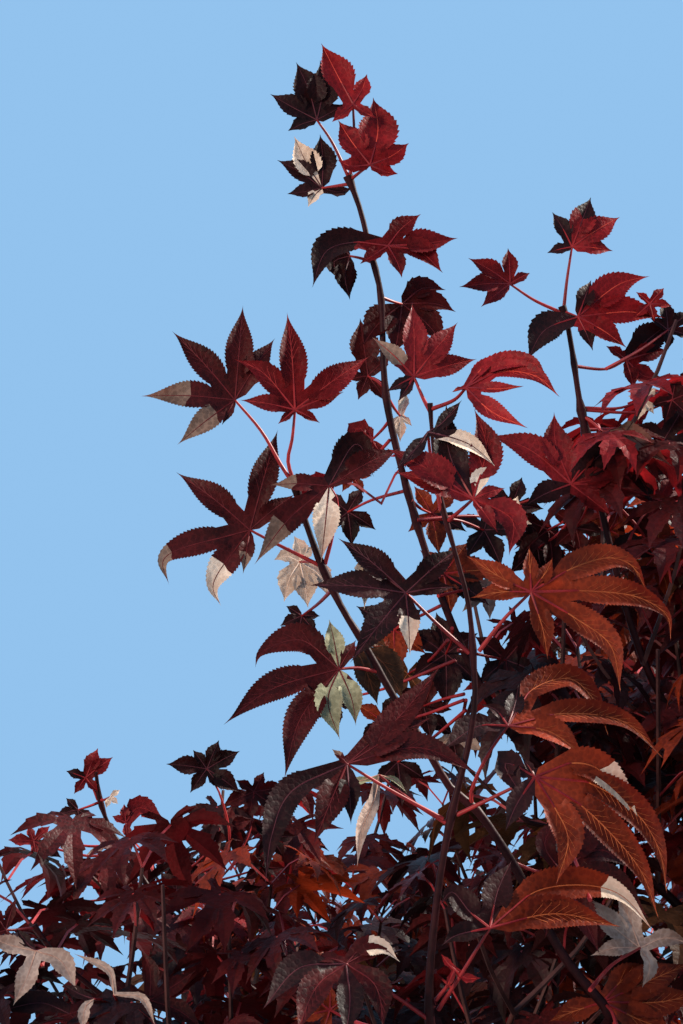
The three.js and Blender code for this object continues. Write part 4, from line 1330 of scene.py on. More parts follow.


# Each shoot: its CAD node, depth, stem from its tip down, radii at tip and foot, and leaves
# The cream leaves are painted sunlight, whole leaves drawn as brightly lit
SHOWN_SHOOTS = [
    ("shoot_front", 800, (430, 403, 433, 445, 440, 497, 453, 545, 457, 559, 469, 607, 473, 655, 475, 699,
     469, 742, 458, 788, 449, 826, 437, 900, 430, 1024), (0.7, 2.9), [
        Shown((414, 377), (424, 400, 430, 411), [(412, 302), (458, 322), (477, 359), (372, 337), (386, 392),
              (398, 402)], "crimson", -12, {3: (SUNLIT_TAN, 0.3), 4: (PAINTED_SHADE, 0), 5: (PAINTED_SHADE, 0)}, lean=(0.2, 0.3)),
        Shown((466, 388), (454, 400, 432, 409), [(500, 372, 535, 376, 560, 397),
              (495, 366, 530, 363, 549, 380), (485, 366, 509, 352), (498, 389, 524, 386),
              (492, 412, 528, 428), (452, 392)], "scarlet", 18, lean=(-0.3, 0.8), width=0.78),
        Shown((428, 432), (430, 452, 441, 510), [(440, 425, 462, 400), (424, 440, 396, 469),
              (446, 436, 472, 446, 496, 467), (420, 442, 402, 467)], "plum", 14, {2: (SUNLIT_CREAM, 0.3)},
              lean=(0.2, 0.5), width=0.8),
        Shown((473, 499), (463, 508, 448, 521), [(450, 455, 446, 402), (505, 488), (512, 520, 509, 556),
              (498, 533), (394, 472), (386, 448), (486, 446, 474, 408), (480, 478, 498, 466)], "crimson",
              20, {0: (PAINTED_SHADE, 0), 7: (SUNLIT_CREAM, 0.2)}, lean=(0.1, 0.45), width=1.1),
        Shown((406, 593), (433, 620, 469, 653), [(338, 538), (308, 585), (350, 663), (410, 656), (460, 547),
              (456, 587), (370, 570, 364, 610)], "plum", 6, {3: (SUNLIT_CREAM, 0.45), 6: (SUNLIT_CREAM, 0.3)},
              lean=(0.1, 0.5)),
        Shown((531, 592), (505, 618, 479, 651), [(530, 568, 529, 546), (546, 572, 553, 557),
              (578, 566, 612, 558, 632, 566, 649, 596), (585, 591, 640, 598, 667, 616, 671, 642),
              (575, 618, 610, 645, 621, 694), (543, 630, 548, 660), (507, 581, 465, 555),
              (502, 592, 470, 598)], "brick", 8, lean=(0.15, 0.4)),
        Shown((347, 764), (392, 791, 443, 819), [(400, 716, 442, 664), (390, 738, 432, 717),
              (420, 748, 481, 775), (332, 749), (290, 793, 272, 835, 265, 885), (351, 825), (313, 846)],
              "maroon", 8, {3: (SUNLIT_TAN, 0.5), 4: (PAINTED_SHADE, 0), 5: (PAINTED_SHADE, 0)}, lean=(0.1, 0.6)),
        Shown((379, 775), (410, 800, 446, 823), [(374, 800, 362, 830, 357, 868), (395, 780, 407, 793),
              (356, 782, 326, 786)], "dusky", -8, {1: (SAGE, 0), 2: (SAGE, 0)}, lean=(0.1, 0.6), width=0.5),
        Shown((535, 777), (496, 796, 457, 815), [(530, 768, 522, 758), (516, 766, 505, 764, 525, 801),
              (566, 764, 592, 766, 614, 784, 643, 828), (581, 780, 636, 813, 659, 850, 667, 894),
              (574, 800, 614, 837, 642, 873, 659, 920), (556, 810, 568, 838, 556, 886),
              (517, 804, 505, 832)], "brick", 10,
              {0: (PAINTED_SHADE, 0), 1: (PAINTED_SHADE, 0), 2: (SUNLIT_CREAM, 0.5), 6: (PAINTED_SHADE, 0)}, lean=(0.15, 0.45), width=1.1),
        Shown((490, 928), (457, 981, 438, 1010), [(498, 890, 512, 860), (470, 912, 452, 892, 440, 905),
              (538, 891, 592, 886, 622, 896, 655, 933), (555, 914, 622, 927), (455, 936, 441, 946)],
              "brick", 8, {0: (PAINTED_SHADE, 0), 1: (PAINTED_SHADE, 0), 2: (SUNLIT_CREAM, 0.66), 4: (PAINTED_SHADE, 0)}, lean=(0.1, 0.7),
              width=1.2),
        Shown((603, 1002), (612, 1012, 618, 1030), [(590, 985, 584, 974), (625, 978, 656, 965),
              (640, 985, 692, 962), (660, 1002, 704, 992), (572, 1012, 548, 1022), (640, 1020, 680, 1034)],
              "brick", -60, lean=(0.1, 0.5), width=1.2),
        Shown((640, 948), (612, 965, 590, 990), [(612, 925, 584, 894), (614, 948, 590, 956),
              (665, 938, 692, 944), (650, 965, 642, 988), (628, 915, 616, 888)], "dusky", -60),
        Shown((346, 964), (398, 998, 432, 1022), [(300, 968, 262, 1010), (370, 952, 395, 950),
              (318, 985, 296, 1035), (350, 1000, 345, 1040), (375, 985, 384, 1030), (330, 958, 312, 962),
              (360, 950, 382, 948, 400, 962)], "maroon", 12, {0: (PAINTED_SHADE, 0), 3: (PAINTED_SHADE, 0), 6: (SUNLIT_CREAM, 0.4)},
              lean=(0.1, 0.8)),
        Shown((455, 970), (448, 985, 436, 1000), [(447, 962, 441, 954), (466, 978, 481, 978),
              (450, 980, 446, 988)], "scarlet", 4),
        Shown((566, 838), (575, 860, 590, 900), [(552, 812), (590, 850), (572, 874), (545, 858),
              (588, 818)], "dusky", -70, width=1.2),
        Shown((330, 1010), (350, 1020, 380, 1030), [(300, 990), (292, 1020), (322, 1036), (352, 994),
              (330, 984)], "brick", -30, lean=(0.1, 0.5), width=1.2),
    ]),
    ("shoot_behind_front", 850, (296, 488, 305, 520, 322, 566, 343, 610, 361, 639, 380, 673, 395, 699, 420,
     737, 453, 791, 473, 806, 509, 857, 565, 958, 610, 1016), (1.3, 2.6), [
        Shown((235, 400), (262, 432, 281, 465, 296, 488), [(172, 331), (243, 305), (141, 396), (177, 445),
              (222, 425), (275, 338)], "maroon", 0, {2: (SUNLIT_TAN, 0.5), 3: (SUNLIT_TAN, 0.35)}, lean=(0.1, 0.3)),
        Shown((295, 410), (292, 440, 288, 461, 297, 490), [(287, 312), (262, 372, 234, 359), (240, 400),
              (370, 356), (344, 392), (320, 423), (278, 424)], "crimson", 4, lean=(0.2, 0.3)),
        Shown((250, 530), (271, 541, 319, 565), [(176, 472), (278, 429), (164, 559, 169, 585),
              (213, 586, 221, 606), (243, 574), (295, 494)], "maroon", 0,
              {2: (SUNLIT_TAN, 0.68), 3: (SUNLIT_CREAM, 0.5), 4: (SUNLIT_TAN, 0.55)}),
        Shown((329, 486), (337, 500, 332, 537, 325, 564), [(270, 485), (290, 518, 254, 565), (321, 563),
              (357, 444, 374, 477), (401, 448), (367, 471)], "maroon", 6,
              {0: (SUNLIT_TAN, 0.6), 1: (SUNLIT_TAN, 0.55), 2: (SUNLIT_CREAM, 0.25), 3: (PAINTED_SHADE, 0)}, lean=(0.1, 0.45)),
        Shown((339, 669), (358, 668, 379, 672), [(300, 640, 260, 654, 255, 668), (270, 690, 223, 725),
              (300, 720, 284, 780), (328, 700, 340, 740), (329, 619), (356, 640), (352, 700, 356, 726)],
              "maroon", 10, {3: (SAGE, 0.2), 4: (SAGE, 0.2), 6: (SAGE, 0.25)}, lean=(0.1, 0.5), width=1.1),
        Shown((508, 726), (486, 758, 471, 793, 472, 806), [(532, 690, 570, 679, 594, 700, 609, 737),
              (562, 714, 624, 722, 664, 759), (550, 732, 587, 759), (480, 726, 440, 751),
              (496, 710, 481, 704), (515, 704, 519, 684)], "brick", 8,
              {3: (PAINTED_SHADE, 0), 4: (PAINTED_SHADE, 0), 5: (PAINTED_SHADE, 0)}, lean=(0.1, 0.9), width=1.05),
        Shown((560, 870), (540, 872, 512, 862), [(600, 850, 640, 872), (610, 880, 650, 920),
              (580, 910, 600, 955), (552, 905, 545, 940), (545, 845, 560, 815), (585, 840, 615, 815)],
              "maroon", -10, lean=(0.1, 0.5)),
        Shown((300, 562), (312, 562, 322, 566), [(290, 578, 284, 602), (304, 580, 308, 608),
              (318, 574, 328, 596), (286, 556, 274, 560), (300, 548, 294, 536), (312, 546)], "cream", -70,
              width=1.6),
        Shown((356, 648), (360, 644, 362, 640), [(382, 662, 404, 702), (368, 676, 378, 706),
              (374, 640, 388, 648)], "bronze", -14, width=1.3),
        Shown((302, 616), (318, 604, 332, 590), [(286, 606), (280, 626), (296, 640), (316, 634),
              (320, 616)], "plum", -50, width=1.5),
    ]),
    ("shoot_highest", 970, (348, 176, 360, 209, 370, 250, 380, 290, 390, 420), (1.3, 2.2), [
        Shown((317, 120), (332, 142, 349, 178), [(308, 88, 296, 62), (292, 107, 270, 94),
              (302, 124, 288, 131), (324, 84, 320, 60), (332, 112, 344, 104)], "plum", width=1.5),
        Shown((353, 104), (354, 140, 350, 178), [(340, 80, 321, 43), (362, 90, 367, 74),
              (342, 114, 332, 122), (364, 112, 376, 118)], "scarlet", 8, width=1.35),
        Shown((370, 165), (360, 172, 350, 180), [(378, 130, 373, 97), (352, 142, 338, 120),
              (392, 156, 409, 143), (386, 172, 398, 174), (350, 166, 338, 160)], "scarlet", 12, width=1.6),
        Shown((322, 188), (336, 186, 349, 184), [(300, 172, 277, 160), (323, 160, 320, 134),
              (306, 162, 294, 136), (314, 196, 308, 207), (304, 192, 287, 194), (340, 192, 352, 188)],
              "plum", -10, {2: (SUNLIT_CREAM, 0), 3: (SUNLIT_CREAM, 0)}, width=1.35),
        Shown((388, 246), (380, 254, 371, 262), [(402, 228, 421, 214), (420, 252, 443, 273),
              (360, 242, 328, 250, 312, 288), (398, 264, 402, 278), (424, 244, 458, 238),
              (372, 256, 360, 264)], "crimson", 6, {2: (PAINTED_SHADE, 0.3)}, lean=(0.1, 0.6), width=1.3),
        Shown((350, 256), (360, 258, 372, 262), [(334, 262, 346, 284), (345, 276, 350, 300), (340, 246)],
              "plum", -6, lean=(0.1, 0.6), width=1.3),
        Shown((402, 304), (394, 302, 383, 298), [(380, 322, 362, 346), (424, 288, 446, 290),
              (425, 322, 446, 346), (398, 336, 394, 356), (436, 304, 456, 312)], "maroon", -10,
              lean=(0.1, 0.6), width=1.5),
        Shown((368, 376), (378, 382, 387, 390), [(364, 346, 360, 318), (348, 380), (358, 400), (386, 402),
              (390, 356)], "maroon", -10, width=1.5),
        Shown((372, 440), (382, 430, 390, 420), [(358, 428, 350, 446), (362, 462), (384, 460), (366, 424)],
              "crimson", -10, width=1.4),
        Shown((400, 416), (394, 408, 389, 400), [(406, 392), (412, 426), (400, 442), (388, 432)], "cream",
              -20, width=1.2),
        Shown((352, 476), (370, 462, 390, 440), [(338, 462), (342, 492), (364, 494), (372, 476),
              (354, 456)], "brick", -20, width=1.3),
        Shown((432, 514), (420, 508, 411, 500), [(418, 524), (436, 538), (452, 524), (446, 500),
              (422, 498)], "brick", -20, {2: (PAINTED_SHADE, 0)}, width=1.4, spread=HIGHEST_SPREAD),
        Shown((484, 530), (456, 520, 417, 520), [(468, 522), (474, 546), (494, 552), (504, 530),
              (490, 512)], "plum", -30, width=1.5, spread=HIGHEST_SPREAD),
        Shown((508, 520), (470, 516, 417, 520), [(498, 510), (514, 506), (522, 522), (510, 536)], "cream",
              -34, width=1.3, spread=HIGHEST_SPREAD),
        Shown((348, 512), (372, 500, 408, 490), [(334, 502), (336, 522), (350, 532), (364, 522),
              (356, 498)], "plum", -30, width=1.5, spread=HIGHEST_SPREAD),
        Shown((444, 574), (438, 580, 433, 588), [(430, 560), (458, 556), (476, 572), (470, 592),
              (448, 598)], "brick", -24, {3: (PAINTED_SHADE, 0)}, width=1.5, spread=HIGHEST_SPREAD),
        Shown((486, 588), (464, 590, 438, 596), [(474, 578), (492, 572), (502, 590), (488, 606),
              (472, 602)], "dusky", -34, width=1.2, spread=HIGHEST_SPREAD),
        Shown((394, 630), (420, 616, 440, 606), [(372, 616), (376, 640), (394, 656), (412, 644), (410, 618),
              (392, 606)], "brick", -26, {0: (PAINTED_SHADE, 0), 4: (PAINTED_SHADE, 0)}, width=1.6, spread=HIGHEST_SPREAD),
        Shown((446, 654), (452, 640, 452, 628), [(424, 640), (426, 668), (446, 686), (466, 672), (464, 642),
              (440, 630)], "plum", -26, width=1.6, spread=HIGHEST_SPREAD),
        Shown((408, 674), (430, 660, 448, 640), [(396, 664), (400, 686), (416, 686), (420, 668)], "bronze",
              -40, width=1.5, spread=HIGHEST_SPREAD),
        Shown((506, 660), (486, 656, 458, 650), [(488, 646), (490, 674), (508, 686), (524, 668),
              (520, 644)], "maroon", -26, {1: (PAINTED_SHADE, 0), 3: (PAINTED_SHADE, 0)}, width=1.5, spread=HIGHEST_SPREAD),
        Shown((452, 734), (462, 716, 466, 700), [(434, 722), (440, 748), (456, 758), (470, 744),
              (462, 722)], "dusky", -44, {0: (PAINTED_SHADE, 0), 2: (PAINTED_SHADE, 0)}, width=1.3, spread=HIGHEST_SPREAD),
        Shown((398, 762), (430, 740, 466, 710), [(386, 750), (384, 776), (400, 788), (414, 772),
              (406, 748)], "plum", -40, width=1.4, spread=HIGHEST_SPREAD),
        Shown((424, 706), (440, 700, 464, 694), [(408, 696), (410, 720), (428, 726), (440, 708),
              (430, 690)], "maroon", -36, {2: (PAINTED_SHADE, 0)}, width=1.5, spread=HIGHEST_SPREAD),
        Shown((384, 722), (420, 716, 464, 700), [(368, 712), (370, 734), (388, 742), (400, 726),
              (390, 706)], "brick", -46, {1: (PAINTED_SHADE, 0), 4: (PAINTED_SHADE, 0)}, width=1.5, spread=HIGHEST_SPREAD),
        Shown((332, 700), (380, 690, 456, 660), [(318, 690), (316, 712), (334, 718), (348, 704),
              (338, 684)], "plum", -50, width=1.5, spread=HIGHEST_SPREAD),
    ]),
    ("shoot_front_right", 1000, (562, 306, 566, 318, 572, 350, 583, 419), (1.3, 2.0), [
        Shown((510, 284), (534, 300, 560, 312), [(468, 258), (508, 248), (530, 273), (459, 287),
              (481, 307)], "crimson", lean=(0.1, 0.35), width=1.25),
        Shown((572, 247), (567, 280, 564, 307), [(591, 197), (620, 217), (613, 251), (552, 212),
              (547, 253)], "scarlet", 0, {0: (PAINTED_SHADE, 0.55), 3: (PAINTED_SHADE, 0), 4: (PAINTED_SHADE, 0)}, lean=(0.1, 0.35),
              width=1.35),
        Shown((578, 317), (570, 314, 565, 312), [(591, 280), (620, 284, 650, 276), (630, 312, 666, 318),
              (593, 351), (627, 348), (545, 330, 527, 361)], "scarlet", 8,
              {0: (PAINTED_SHADE, 0), 3: (PAINTED_SHADE, 0.5), 5: (PAINTED_SHADE, 0)}, width=1.3),
        Shown((626, 360), (606, 369, 573, 366), [(650, 338, 674, 320), (668, 350), (634, 390), (606, 346),
              (644, 376, 664, 378)], "crimson", -16, {0: (PAINTED_SHADE, 0)}, width=1.4),
        Shown((672, 400), (640, 412, 582, 410), [(650, 406), (676, 374), (700, 390), (694, 424),
              (664, 424)], "maroon", -10, width=1.4),
        Shown((571, 484), (584, 460, 586, 430), [(556, 445, 554, 412), (530, 450, 487, 434),
              (600, 455, 622, 440), (600, 478, 618, 468), (612, 486, 650, 496), (545, 494, 524, 506),
              (592, 500, 612, 516)], "crimson", 12, {2: (PAINTED_SHADE, 0), 5: (PAINTED_SHADE, 0)}, width=1.35),
        Shown((655, 556), (640, 530, 617, 505), [(625, 545, 606, 556), (640, 575, 628, 600),
              (665, 580, 670, 606), (690, 560), (660, 530, 668, 512)], "brick", -20, {0: (PAINTED_SHADE, 0)},
              lean=(0.1, 0.5), width=1.25),
        Shown((548, 530), (566, 520, 590, 500), [(520, 518, 504, 522), (530, 545, 516, 566),
              (552, 556, 548, 582), (575, 548, 592, 556)], "maroon", -30, lean=(0.1, 0.5)),
        Shown((642, 400), (620, 408, 582, 408), [(656, 388), (654, 414), (638, 420), (628, 396),
              (644, 384)], "cream", -8, width=1.5),
        Shown((602, 432), (594, 424, 583, 416), [(614, 424, 636, 440, 673, 467), (620, 440, 632, 456),
              (600, 452), (590, 446)], "maroon", 10, {0: (SUNLIT_TAN, 0)}),
        Shown((668, 330), (640, 350, 606, 369), [(650, 318), (664, 300), (690, 312), (694, 338),
              (668, 350)], "plum", -20, width=1.4),
        Shown((650, 304), (630, 310, 600, 316), [(636, 292), (664, 288), (672, 306), (654, 322),
              (634, 318)], "scarlet", 4, width=1.3),
        Shown((660, 500), (640, 520, 620, 560), [(632, 496), (640, 474), (672, 474), (692, 494), (680, 520),
              (648, 520)], "crimson", -20, width=1.3),
        Shown((610, 530), (616, 520, 620, 505), [(590, 520), (588, 545), (606, 560), (630, 545),
              (630, 515)], "brick", -30, width=1.3),
        Shown((512, 506), (550, 490, 588, 440), [(494, 496), (500, 520), (520, 526), (532, 508),
              (518, 488)], "plum", -24, width=1.5, spread=FRONT_RIGHT_SPREAD),
        Shown((538, 548), (562, 530, 592, 480), [(518, 540), (520, 564), (540, 574), (558, 560), (552, 534),
              (532, 528)], "plum", -36, width=1.6, spread=FRONT_RIGHT_SPREAD),
        Shown((576, 528), (586, 510, 592, 480), [(560, 516), (562, 540), (580, 548), (594, 532),
              (586, 510)], "maroon", -20, {3: (PAINTED_SHADE, 0)}, width=1.5, spread=FRONT_RIGHT_SPREAD),
        Shown((664, 440), (630, 430, 586, 430), [(646, 430), (650, 456), (672, 464), (688, 446),
              (676, 420)], "plum", -16, width=1.6, spread=FRONT_RIGHT_SPREAD),
        Shown((636, 470), (612, 456, 588, 440), [(616, 462), (624, 486), (646, 492), (660, 474),
              (646, 454)], "maroon", -24, {2: (PAINTED_SHADE, 0)}, width=1.5, spread=FRONT_RIGHT_SPREAD),
    ]),
    ("shoot_left", 1150, (96, 772, 100, 800, 112, 832, 136, 866, 152, 892), (1.1, 1.9), [
        Shown((86, 778), (92, 786, 98, 800), [(98, 748), (113, 757), (66, 771), (74, 794), (98, 792)],
              "crimson", 0, {2: (PAINTED_SHADE, 0)}, width=1.45),
        Shown((78, 810), (90, 806, 100, 802), [(56, 815), (66, 798), (80, 826), (94, 820)], "plum", 8,
              width=1.45),
        Shown((34, 841), (60, 850, 96, 856, 118, 846), [(8, 840), (28, 826), (50, 826), (38, 862),
              (62, 858)], "crimson", -6, {4: (PAINTED_SHADE, 0)}, width=1.45),
        Shown((126, 823), (128, 845, 136, 866), [(112, 816), (138, 808, 164, 818), (128, 840), (124, 804)],
              "crimson", 4, lean=(0.1, 0.5), width=1.45),
        Shown((207, 769), (222, 800, 228, 850, 190, 890), [(166, 764), (193, 750), (219, 740), (240, 751),
              (190, 793), (241, 793), (222, 790)], "plum", width=1.45),
        Shown((254, 792), (250, 830, 230, 870), [(222, 806), (236, 780), (264, 772), (288, 788), (280, 812),
              (248, 822)], "maroon", -20, width=1.45),
        Shown((112, 874), (130, 880, 150, 890), [(86, 868), (98, 856), (80, 886), (100, 898), (126, 900)],
              "maroon", -10, lean=(0.1, 0.5), width=1.45),
        Shown((76, 902), (100, 900, 140, 892), [(46, 892), (60, 880), (40, 912), (70, 926), (96, 922)],
              "crimson", 10, {2: (PAINTED_SHADE, 0), 3: (PAINTED_SHADE, 0)}, lean=(0.1, 0.5), width=1.45),
        Shown((110, 797), (104, 800, 100, 800), [(120, 790), (118, 804), (106, 808)], "cream", 6,
              width=1.3),
        Shown((56, 834), (80, 845, 118, 846), [(62, 824), (68, 840), (54, 848)], "cream", 6, width=1.3),
        Shown((104, 848), (118, 850, 136, 864), [(86, 855), (100, 842), (118, 842)], "dusky", 6),
        Shown((120, 920), (134, 910, 150, 892), [(104, 906), (98, 924), (114, 938), (136, 930)], "dusky",
              -20, width=1.4),
        Shown((236, 900), (200, 900, 152, 892), [(204, 888), (222, 880), (262, 886), (266, 908), (232, 922),
              (206, 912)], "plum", -10, width=1.6),
        Shown((176, 890), (165, 890, 152, 892), [(160, 872), (180, 868), (196, 884), (188, 908),
              (166, 908)], "plum", 6, width=1.6),
        Shown((226, 828), (200, 860, 152, 892), [(206, 812), (232, 806), (252, 820), (244, 842),
              (216, 846)], "maroon", -6, width=1.5),
        Shown((272, 838), (230, 860, 152, 892), [(254, 822), (280, 816), (296, 836), (284, 858),
              (258, 854)], "plum", -16, width=1.5),
        Shown((262, 868), (220, 880, 152, 892), [(240, 856), (268, 850), (286, 868), (270, 886),
              (244, 880)], "maroon", -6, width=1.5),
    ]),
    ("shoot_low_left", 988, (34, 925, 60, 960, 120, 1010, 170, 1060), (1.2, 2.0), [
        Shown((36, 951), (50, 950, 62, 956), [(28, 975, 13, 1006), (14, 946, -14, 936), (60, 960, 77, 990),
              (28, 944, 16, 928)], "dusky", 30, {3: (PAINTED_SHADE, 0)}, lean=(0.1, 0.5), width=1.1),
        Shown((114, 995), (118, 1002, 122, 1012), [(110, 972, 73, 953), (142, 998, 156, 1028)], "dusky", 40,
              lean=(0.1, 0.5), width=0.4),
        Shown((94, 999), (104, 1000, 120, 1008), [(86, 1006, 82, 1032), (80, 994, 62, 984)], "dusky", 38,
              {1: (PAINTED_SHADE, 0)}, lean=(0.1, 0.5)),
        Shown((70, 1014), (90, 1014, 120, 1016), [(42, 1003, -4, 1012), (50, 1020, 22, 1042),
              (100, 1006, 128, 1034), (84, 1030, 92, 1052)], "maroon", 20, {0: (PAINTED_SHADE, 0)}, lean=(0.1, 0.6)),
        Shown((6, 930), (16, 930, 34, 928), [(10, 915, 16, 898), (-14, 900), (-20, 940), (14, 944)],
              "maroon", 10),
        Shown((150, 1000), (140, 1010, 128, 1014), [(150, 970, 140, 948), (175, 985, 196, 970),
              (178, 1010, 204, 1030), (140, 1025, 130, 1050), (124, 990, 108, 978)], "maroon",
              lean=(0.1, 0.5)),
    ]),
]


def shown_blade(leaf, depth):
    """The blade of a shown leaf, its lobes in order round the hub and its plane leaned as the leaf says."""
    depth -= leaf.nearer
    size = depth / PIXELS_PER_TANGENT
    right, up = leaf.lean

    def spot(u, v):
        return seen(u, v, depth + size * (right * (u - leaf.hub[0]) + up * (leaf.hub[1] - v)))

    def turn_of(u, v):
        return math.atan2(leaf.hub[1] - v, u - leaf.hub[0])

    normal = unit(right * RIGHT + up * ABOVE - AHEAD)
    hub = spot(*leaf.hub)
    start = turn_of(*leaf.stalk[0])
    turns = [(turn_of(*lobe[0]) - start) % (2 * math.pi) for lobe in leaf.lobes]
    lobes = []
    for place in np.argsort(turns, kind="stable"):
        points = [hub, *[spot(*pixel) for pixel in leaf.lobes[place]]]
        if len(points) == 2:
            rise = STRAIGHT_LOBE_RISE * np.linalg.norm(points[1] - hub) * normal
            points.insert(1, mix(hub, points[1], 0.5) + rise)
        curve = Curve(points)
        width = leaf.width * np.clip(LOBE_WIDTH_SHARE * curve.length + LOBE_WIDTH_MORE, *LOBE_WIDTHS)
        step = TOOTH_STEP if depth < NEAR_DEPTH else FAR_TOOTH_STEP
        sections = max(FEWEST_SECTIONS, int(curve.length / step))
        lobes.append((curve, width, sections, leaf.marks.get(place, (0, 0))))
    return leaf_blade(hub, normal, lobes, LEAF_FOLD, LEAF_TOOTH, LEAF_ROWS)


def two_sided(blade):
    """The blade with its underside a sheet's thickness below, joined to it at the edge but for the heart."""
    points = np.array(blade.points)
    triangles = np.array(blade.triangles)
    edges = np.sort(triangles[:, [0, 1, 1, 2, 2, 0]].reshape(-1, 2), axis=1)
    pairs, counts = np.unique(edges, axis=0, return_counts=True)
    rim = np.zeros(len(points), bool)
    rim[pairs[counts == 1]] = True
    rim[:blade.heart] = False
    lower = np.where(rim, np.arange(len(points)), len(points) + np.cumsum(~rim) - 1)
    under = points[~rim] - LEAF_SHEET * blade.normal
    marks = np.concatenate([blade.marks, np.full(len(triangles), UNDER)])
    return np.vstack([points, under]), np.vstack([triangles, lower[triangles][:, ::-1]]), marks


def shown_stem(name, depth, way, radii, leaves):
    """A shoot's stem down to its bough, swollen a little at each leaf's node."""
    mass = next(one for one in masses if one.name == name)
    path = [seen(u, v, depth) for u, v in np.reshape(way, (-1, 2))]
    curve = Curve([*path, *mass.stem.at(np.linspace(*STEM_GOES_ON, STEM_GOES_ON_POINTS))])
    shares = np.linspace(0, 1, SHOWN_STEM_STEPS)
    thickness = mix(radii[0], radii[1] + STEM_FOOT_MORE, shares)
    for leaf in leaves:
        away = np.linalg.norm(curve.at(shares) - seen(*leaf.stalk[-1], depth), axis=1)
        thickness = thickness + STEM_SWELLING * np.exp(-((away / STEM_SWELLING_REACH) ** 2))
    return tubes([curve.at(shares)], [thickness], SHOWN_STEM_SIDES)


def shown_shoots():
    """The shown leaves and their veins by colour, their stalks, and the shoots' stems."""
    blades = {colour: Heap() for colour in VEIN_COLOURS}
    veins = {colour: Heap() for colour in VEIN_COLOURS}
    stalks, stems = Heap(), Heap()
    for name, depth, way, radii, leaves in SHOWN_SHOOTS:
        stems.add(*shown_stem(name, depth, way, radii, leaves))
        for leaf in leaves:
            blade = shown_blade(leaf, depth)
            blades[leaf.colour].add(*two_sided(blade))
            for rib, mark in blade.midribs:
                # A lobe with painted shade gets a plum midrib, so the shade is painted on it too
                skin = "plum" if mark == PAINTED_SHADE else leaf.colour
                veins[skin].add(*tubes([rib], np.linspace(*MIDRIB_RADII, len(rib)), MIDRIB_SIDES))
                if leaf.colour in HEARTED:
                    heart = np.linspace(*HEART_RADII, HEART_STEPS)
                    stalks.add(*tubes([rib[:HEART_STEPS]], heart, MIDRIB_SIDES))
            if depth < NEAR_DEPTH and blade.veins:
                veins[leaf.colour].add(*tubes(blade.veins, VEIN_RADII, VEIN_SIDES))
            ends = np.linspace(depth - leaf.nearer, depth, len(leaf.stalk) + 1)
            stalk = Curve([seen(u, v, away) for (u, v), away in zip([leaf.hub, *leaf.stalk], ends)])
            stalks.add(*tapered(stalk, SHOWN_STALK_RADII, steps=12, sides=7))
    return blades, veins, stalks, stems


def dress_shown_shoots():
    blades, veins, stalks, stems = shown_shoots()
    names = [name for name, *_ in SHOWN_SHOOTS]
    # The marks' materials: painted sunlight in tan, painted shade in plum, the underside, brighter painted
    # sunlight in cream, and the underside's pale green
    pale, shade_plum, cream, sage = (leaf_materials[colour] for colour in ("tan", "plum", "cream", "sage"))
    under = leaf_surface("leaf_underside", (0.070, 0.022, 0.018), (0.16, 0.060, 0.045), (0.30, 0.018, 0.016))
    for colour, heap in blades.items():
        skins = [leaf_materials[colour], pale, shade_plum, under, cream, sage]
        for piece in heap.pieces(f"near_leaves_{colour}", skins):
            dressed(piece, "leaves", *names)
        skin = plain_surface(f"vein_{colour}", *VEIN_COLOURS[colour], 200, 0.6, 0.1, shine=0.12)
        for piece in veins[colour].pieces(f"veins_{colour}", [skin]):
            dressed(piece, "leaves", *names)
    red = plain_surface("near_stalk", (0.10, 0.0045, 0.007), (0.28, 0.016, 0.016), 40, 0.45, 0.1, shine=0.2)
    dark, light = (0.008, 0.0015, 0.002), (0.030, 0.005, 0.006)
    bark = plain_surface("shoot_bark", dark, light, 55, 0.45, 0.2, shine=0.08)
    for piece in stalks.pieces("near_leaf_stalks", [red]) + stems.pieces("shoot_stems", [bark]):
        dressed(piece, "leaves", *names)


dress_shown_shoots()


# Pot and soil
POT_TURNS = 128
POT_ROUNDING = 4
POT_BAND_SLOPE = 3
ROUNDING_STEPS = 5
ROUNDING_MOST = 0.4


def rounded(corners, radius):
    """The profile with each corner between its ends rounded off."""
    corners = np.array(corners, float)
    points = [corners[0]]
    for before, corner, after in zip(corners, corners[1:], corners[2:]):
        shorter = min(np.linalg.norm(before - corner), np.linalg.norm(after - corner))
        cut = min(radius, ROUNDING_MOST * shorter)
        start, end = corner + cut * unit(before - corner), corner + cut * unit(after - corner)
        for share in np.linspace(0, 1, ROUNDING_STEPS):
            points.append(mix(mix(start, corner, share), mix(corner, end, share), share))
    return np.array([*points, corners[-1]])


def outer_radius(height):
    """The pot's outer radius at a height, below its rim band."""
    slope = (POT_RIM_RADIUS - RIM_BAND_STEP - POT_FOOT_RADIUS) / (POT_HEIGHT - RIM_BAND_HEIGHT)
    return POT_FOOT_RADIUS + slope * height


def pot_piece():
    band = POT_HEIGHT - RIM_BAND_HEIGHT
    profile = rounded([
        (0, 0),
        (POT_FOOT_RADIUS, 0),
        (outer_radius(band), band),
        (POT_RIM_RADIUS, band + POT_BAND_SLOPE),
        (POT_RIM_RADIUS, POT_HEIGHT),
        (outer_radius(POT_HEIGHT) - POT_WALL, POT_HEIGHT),
        (outer_radius(POT_FLOOR) - POT_WALL, POT_FLOOR),
        (0, POT_FLOOR),
    ], POT_ROUNDING)
    points, triangles = lathe(profile, POT_TURNS)
    dressed(make_piece("clay_pot", points, triangles, [terracotta_surface()]), "terracotta", "pot")


SOIL_CLEARANCE = 1.2
SOIL_EDGE = outer_radius(SOIL_LEVEL) - POT_WALL - SOIL_CLEARANCE
SOIL_RINGS = 60
SOIL_INNERMOST = 0.02
SOIL_TURNS = 150
SOIL_SWELLS = (2.6, 0.05)
SOIL_CRUMBS = (2.2, 0.19)
SOIL_CALM_EDGE = 6

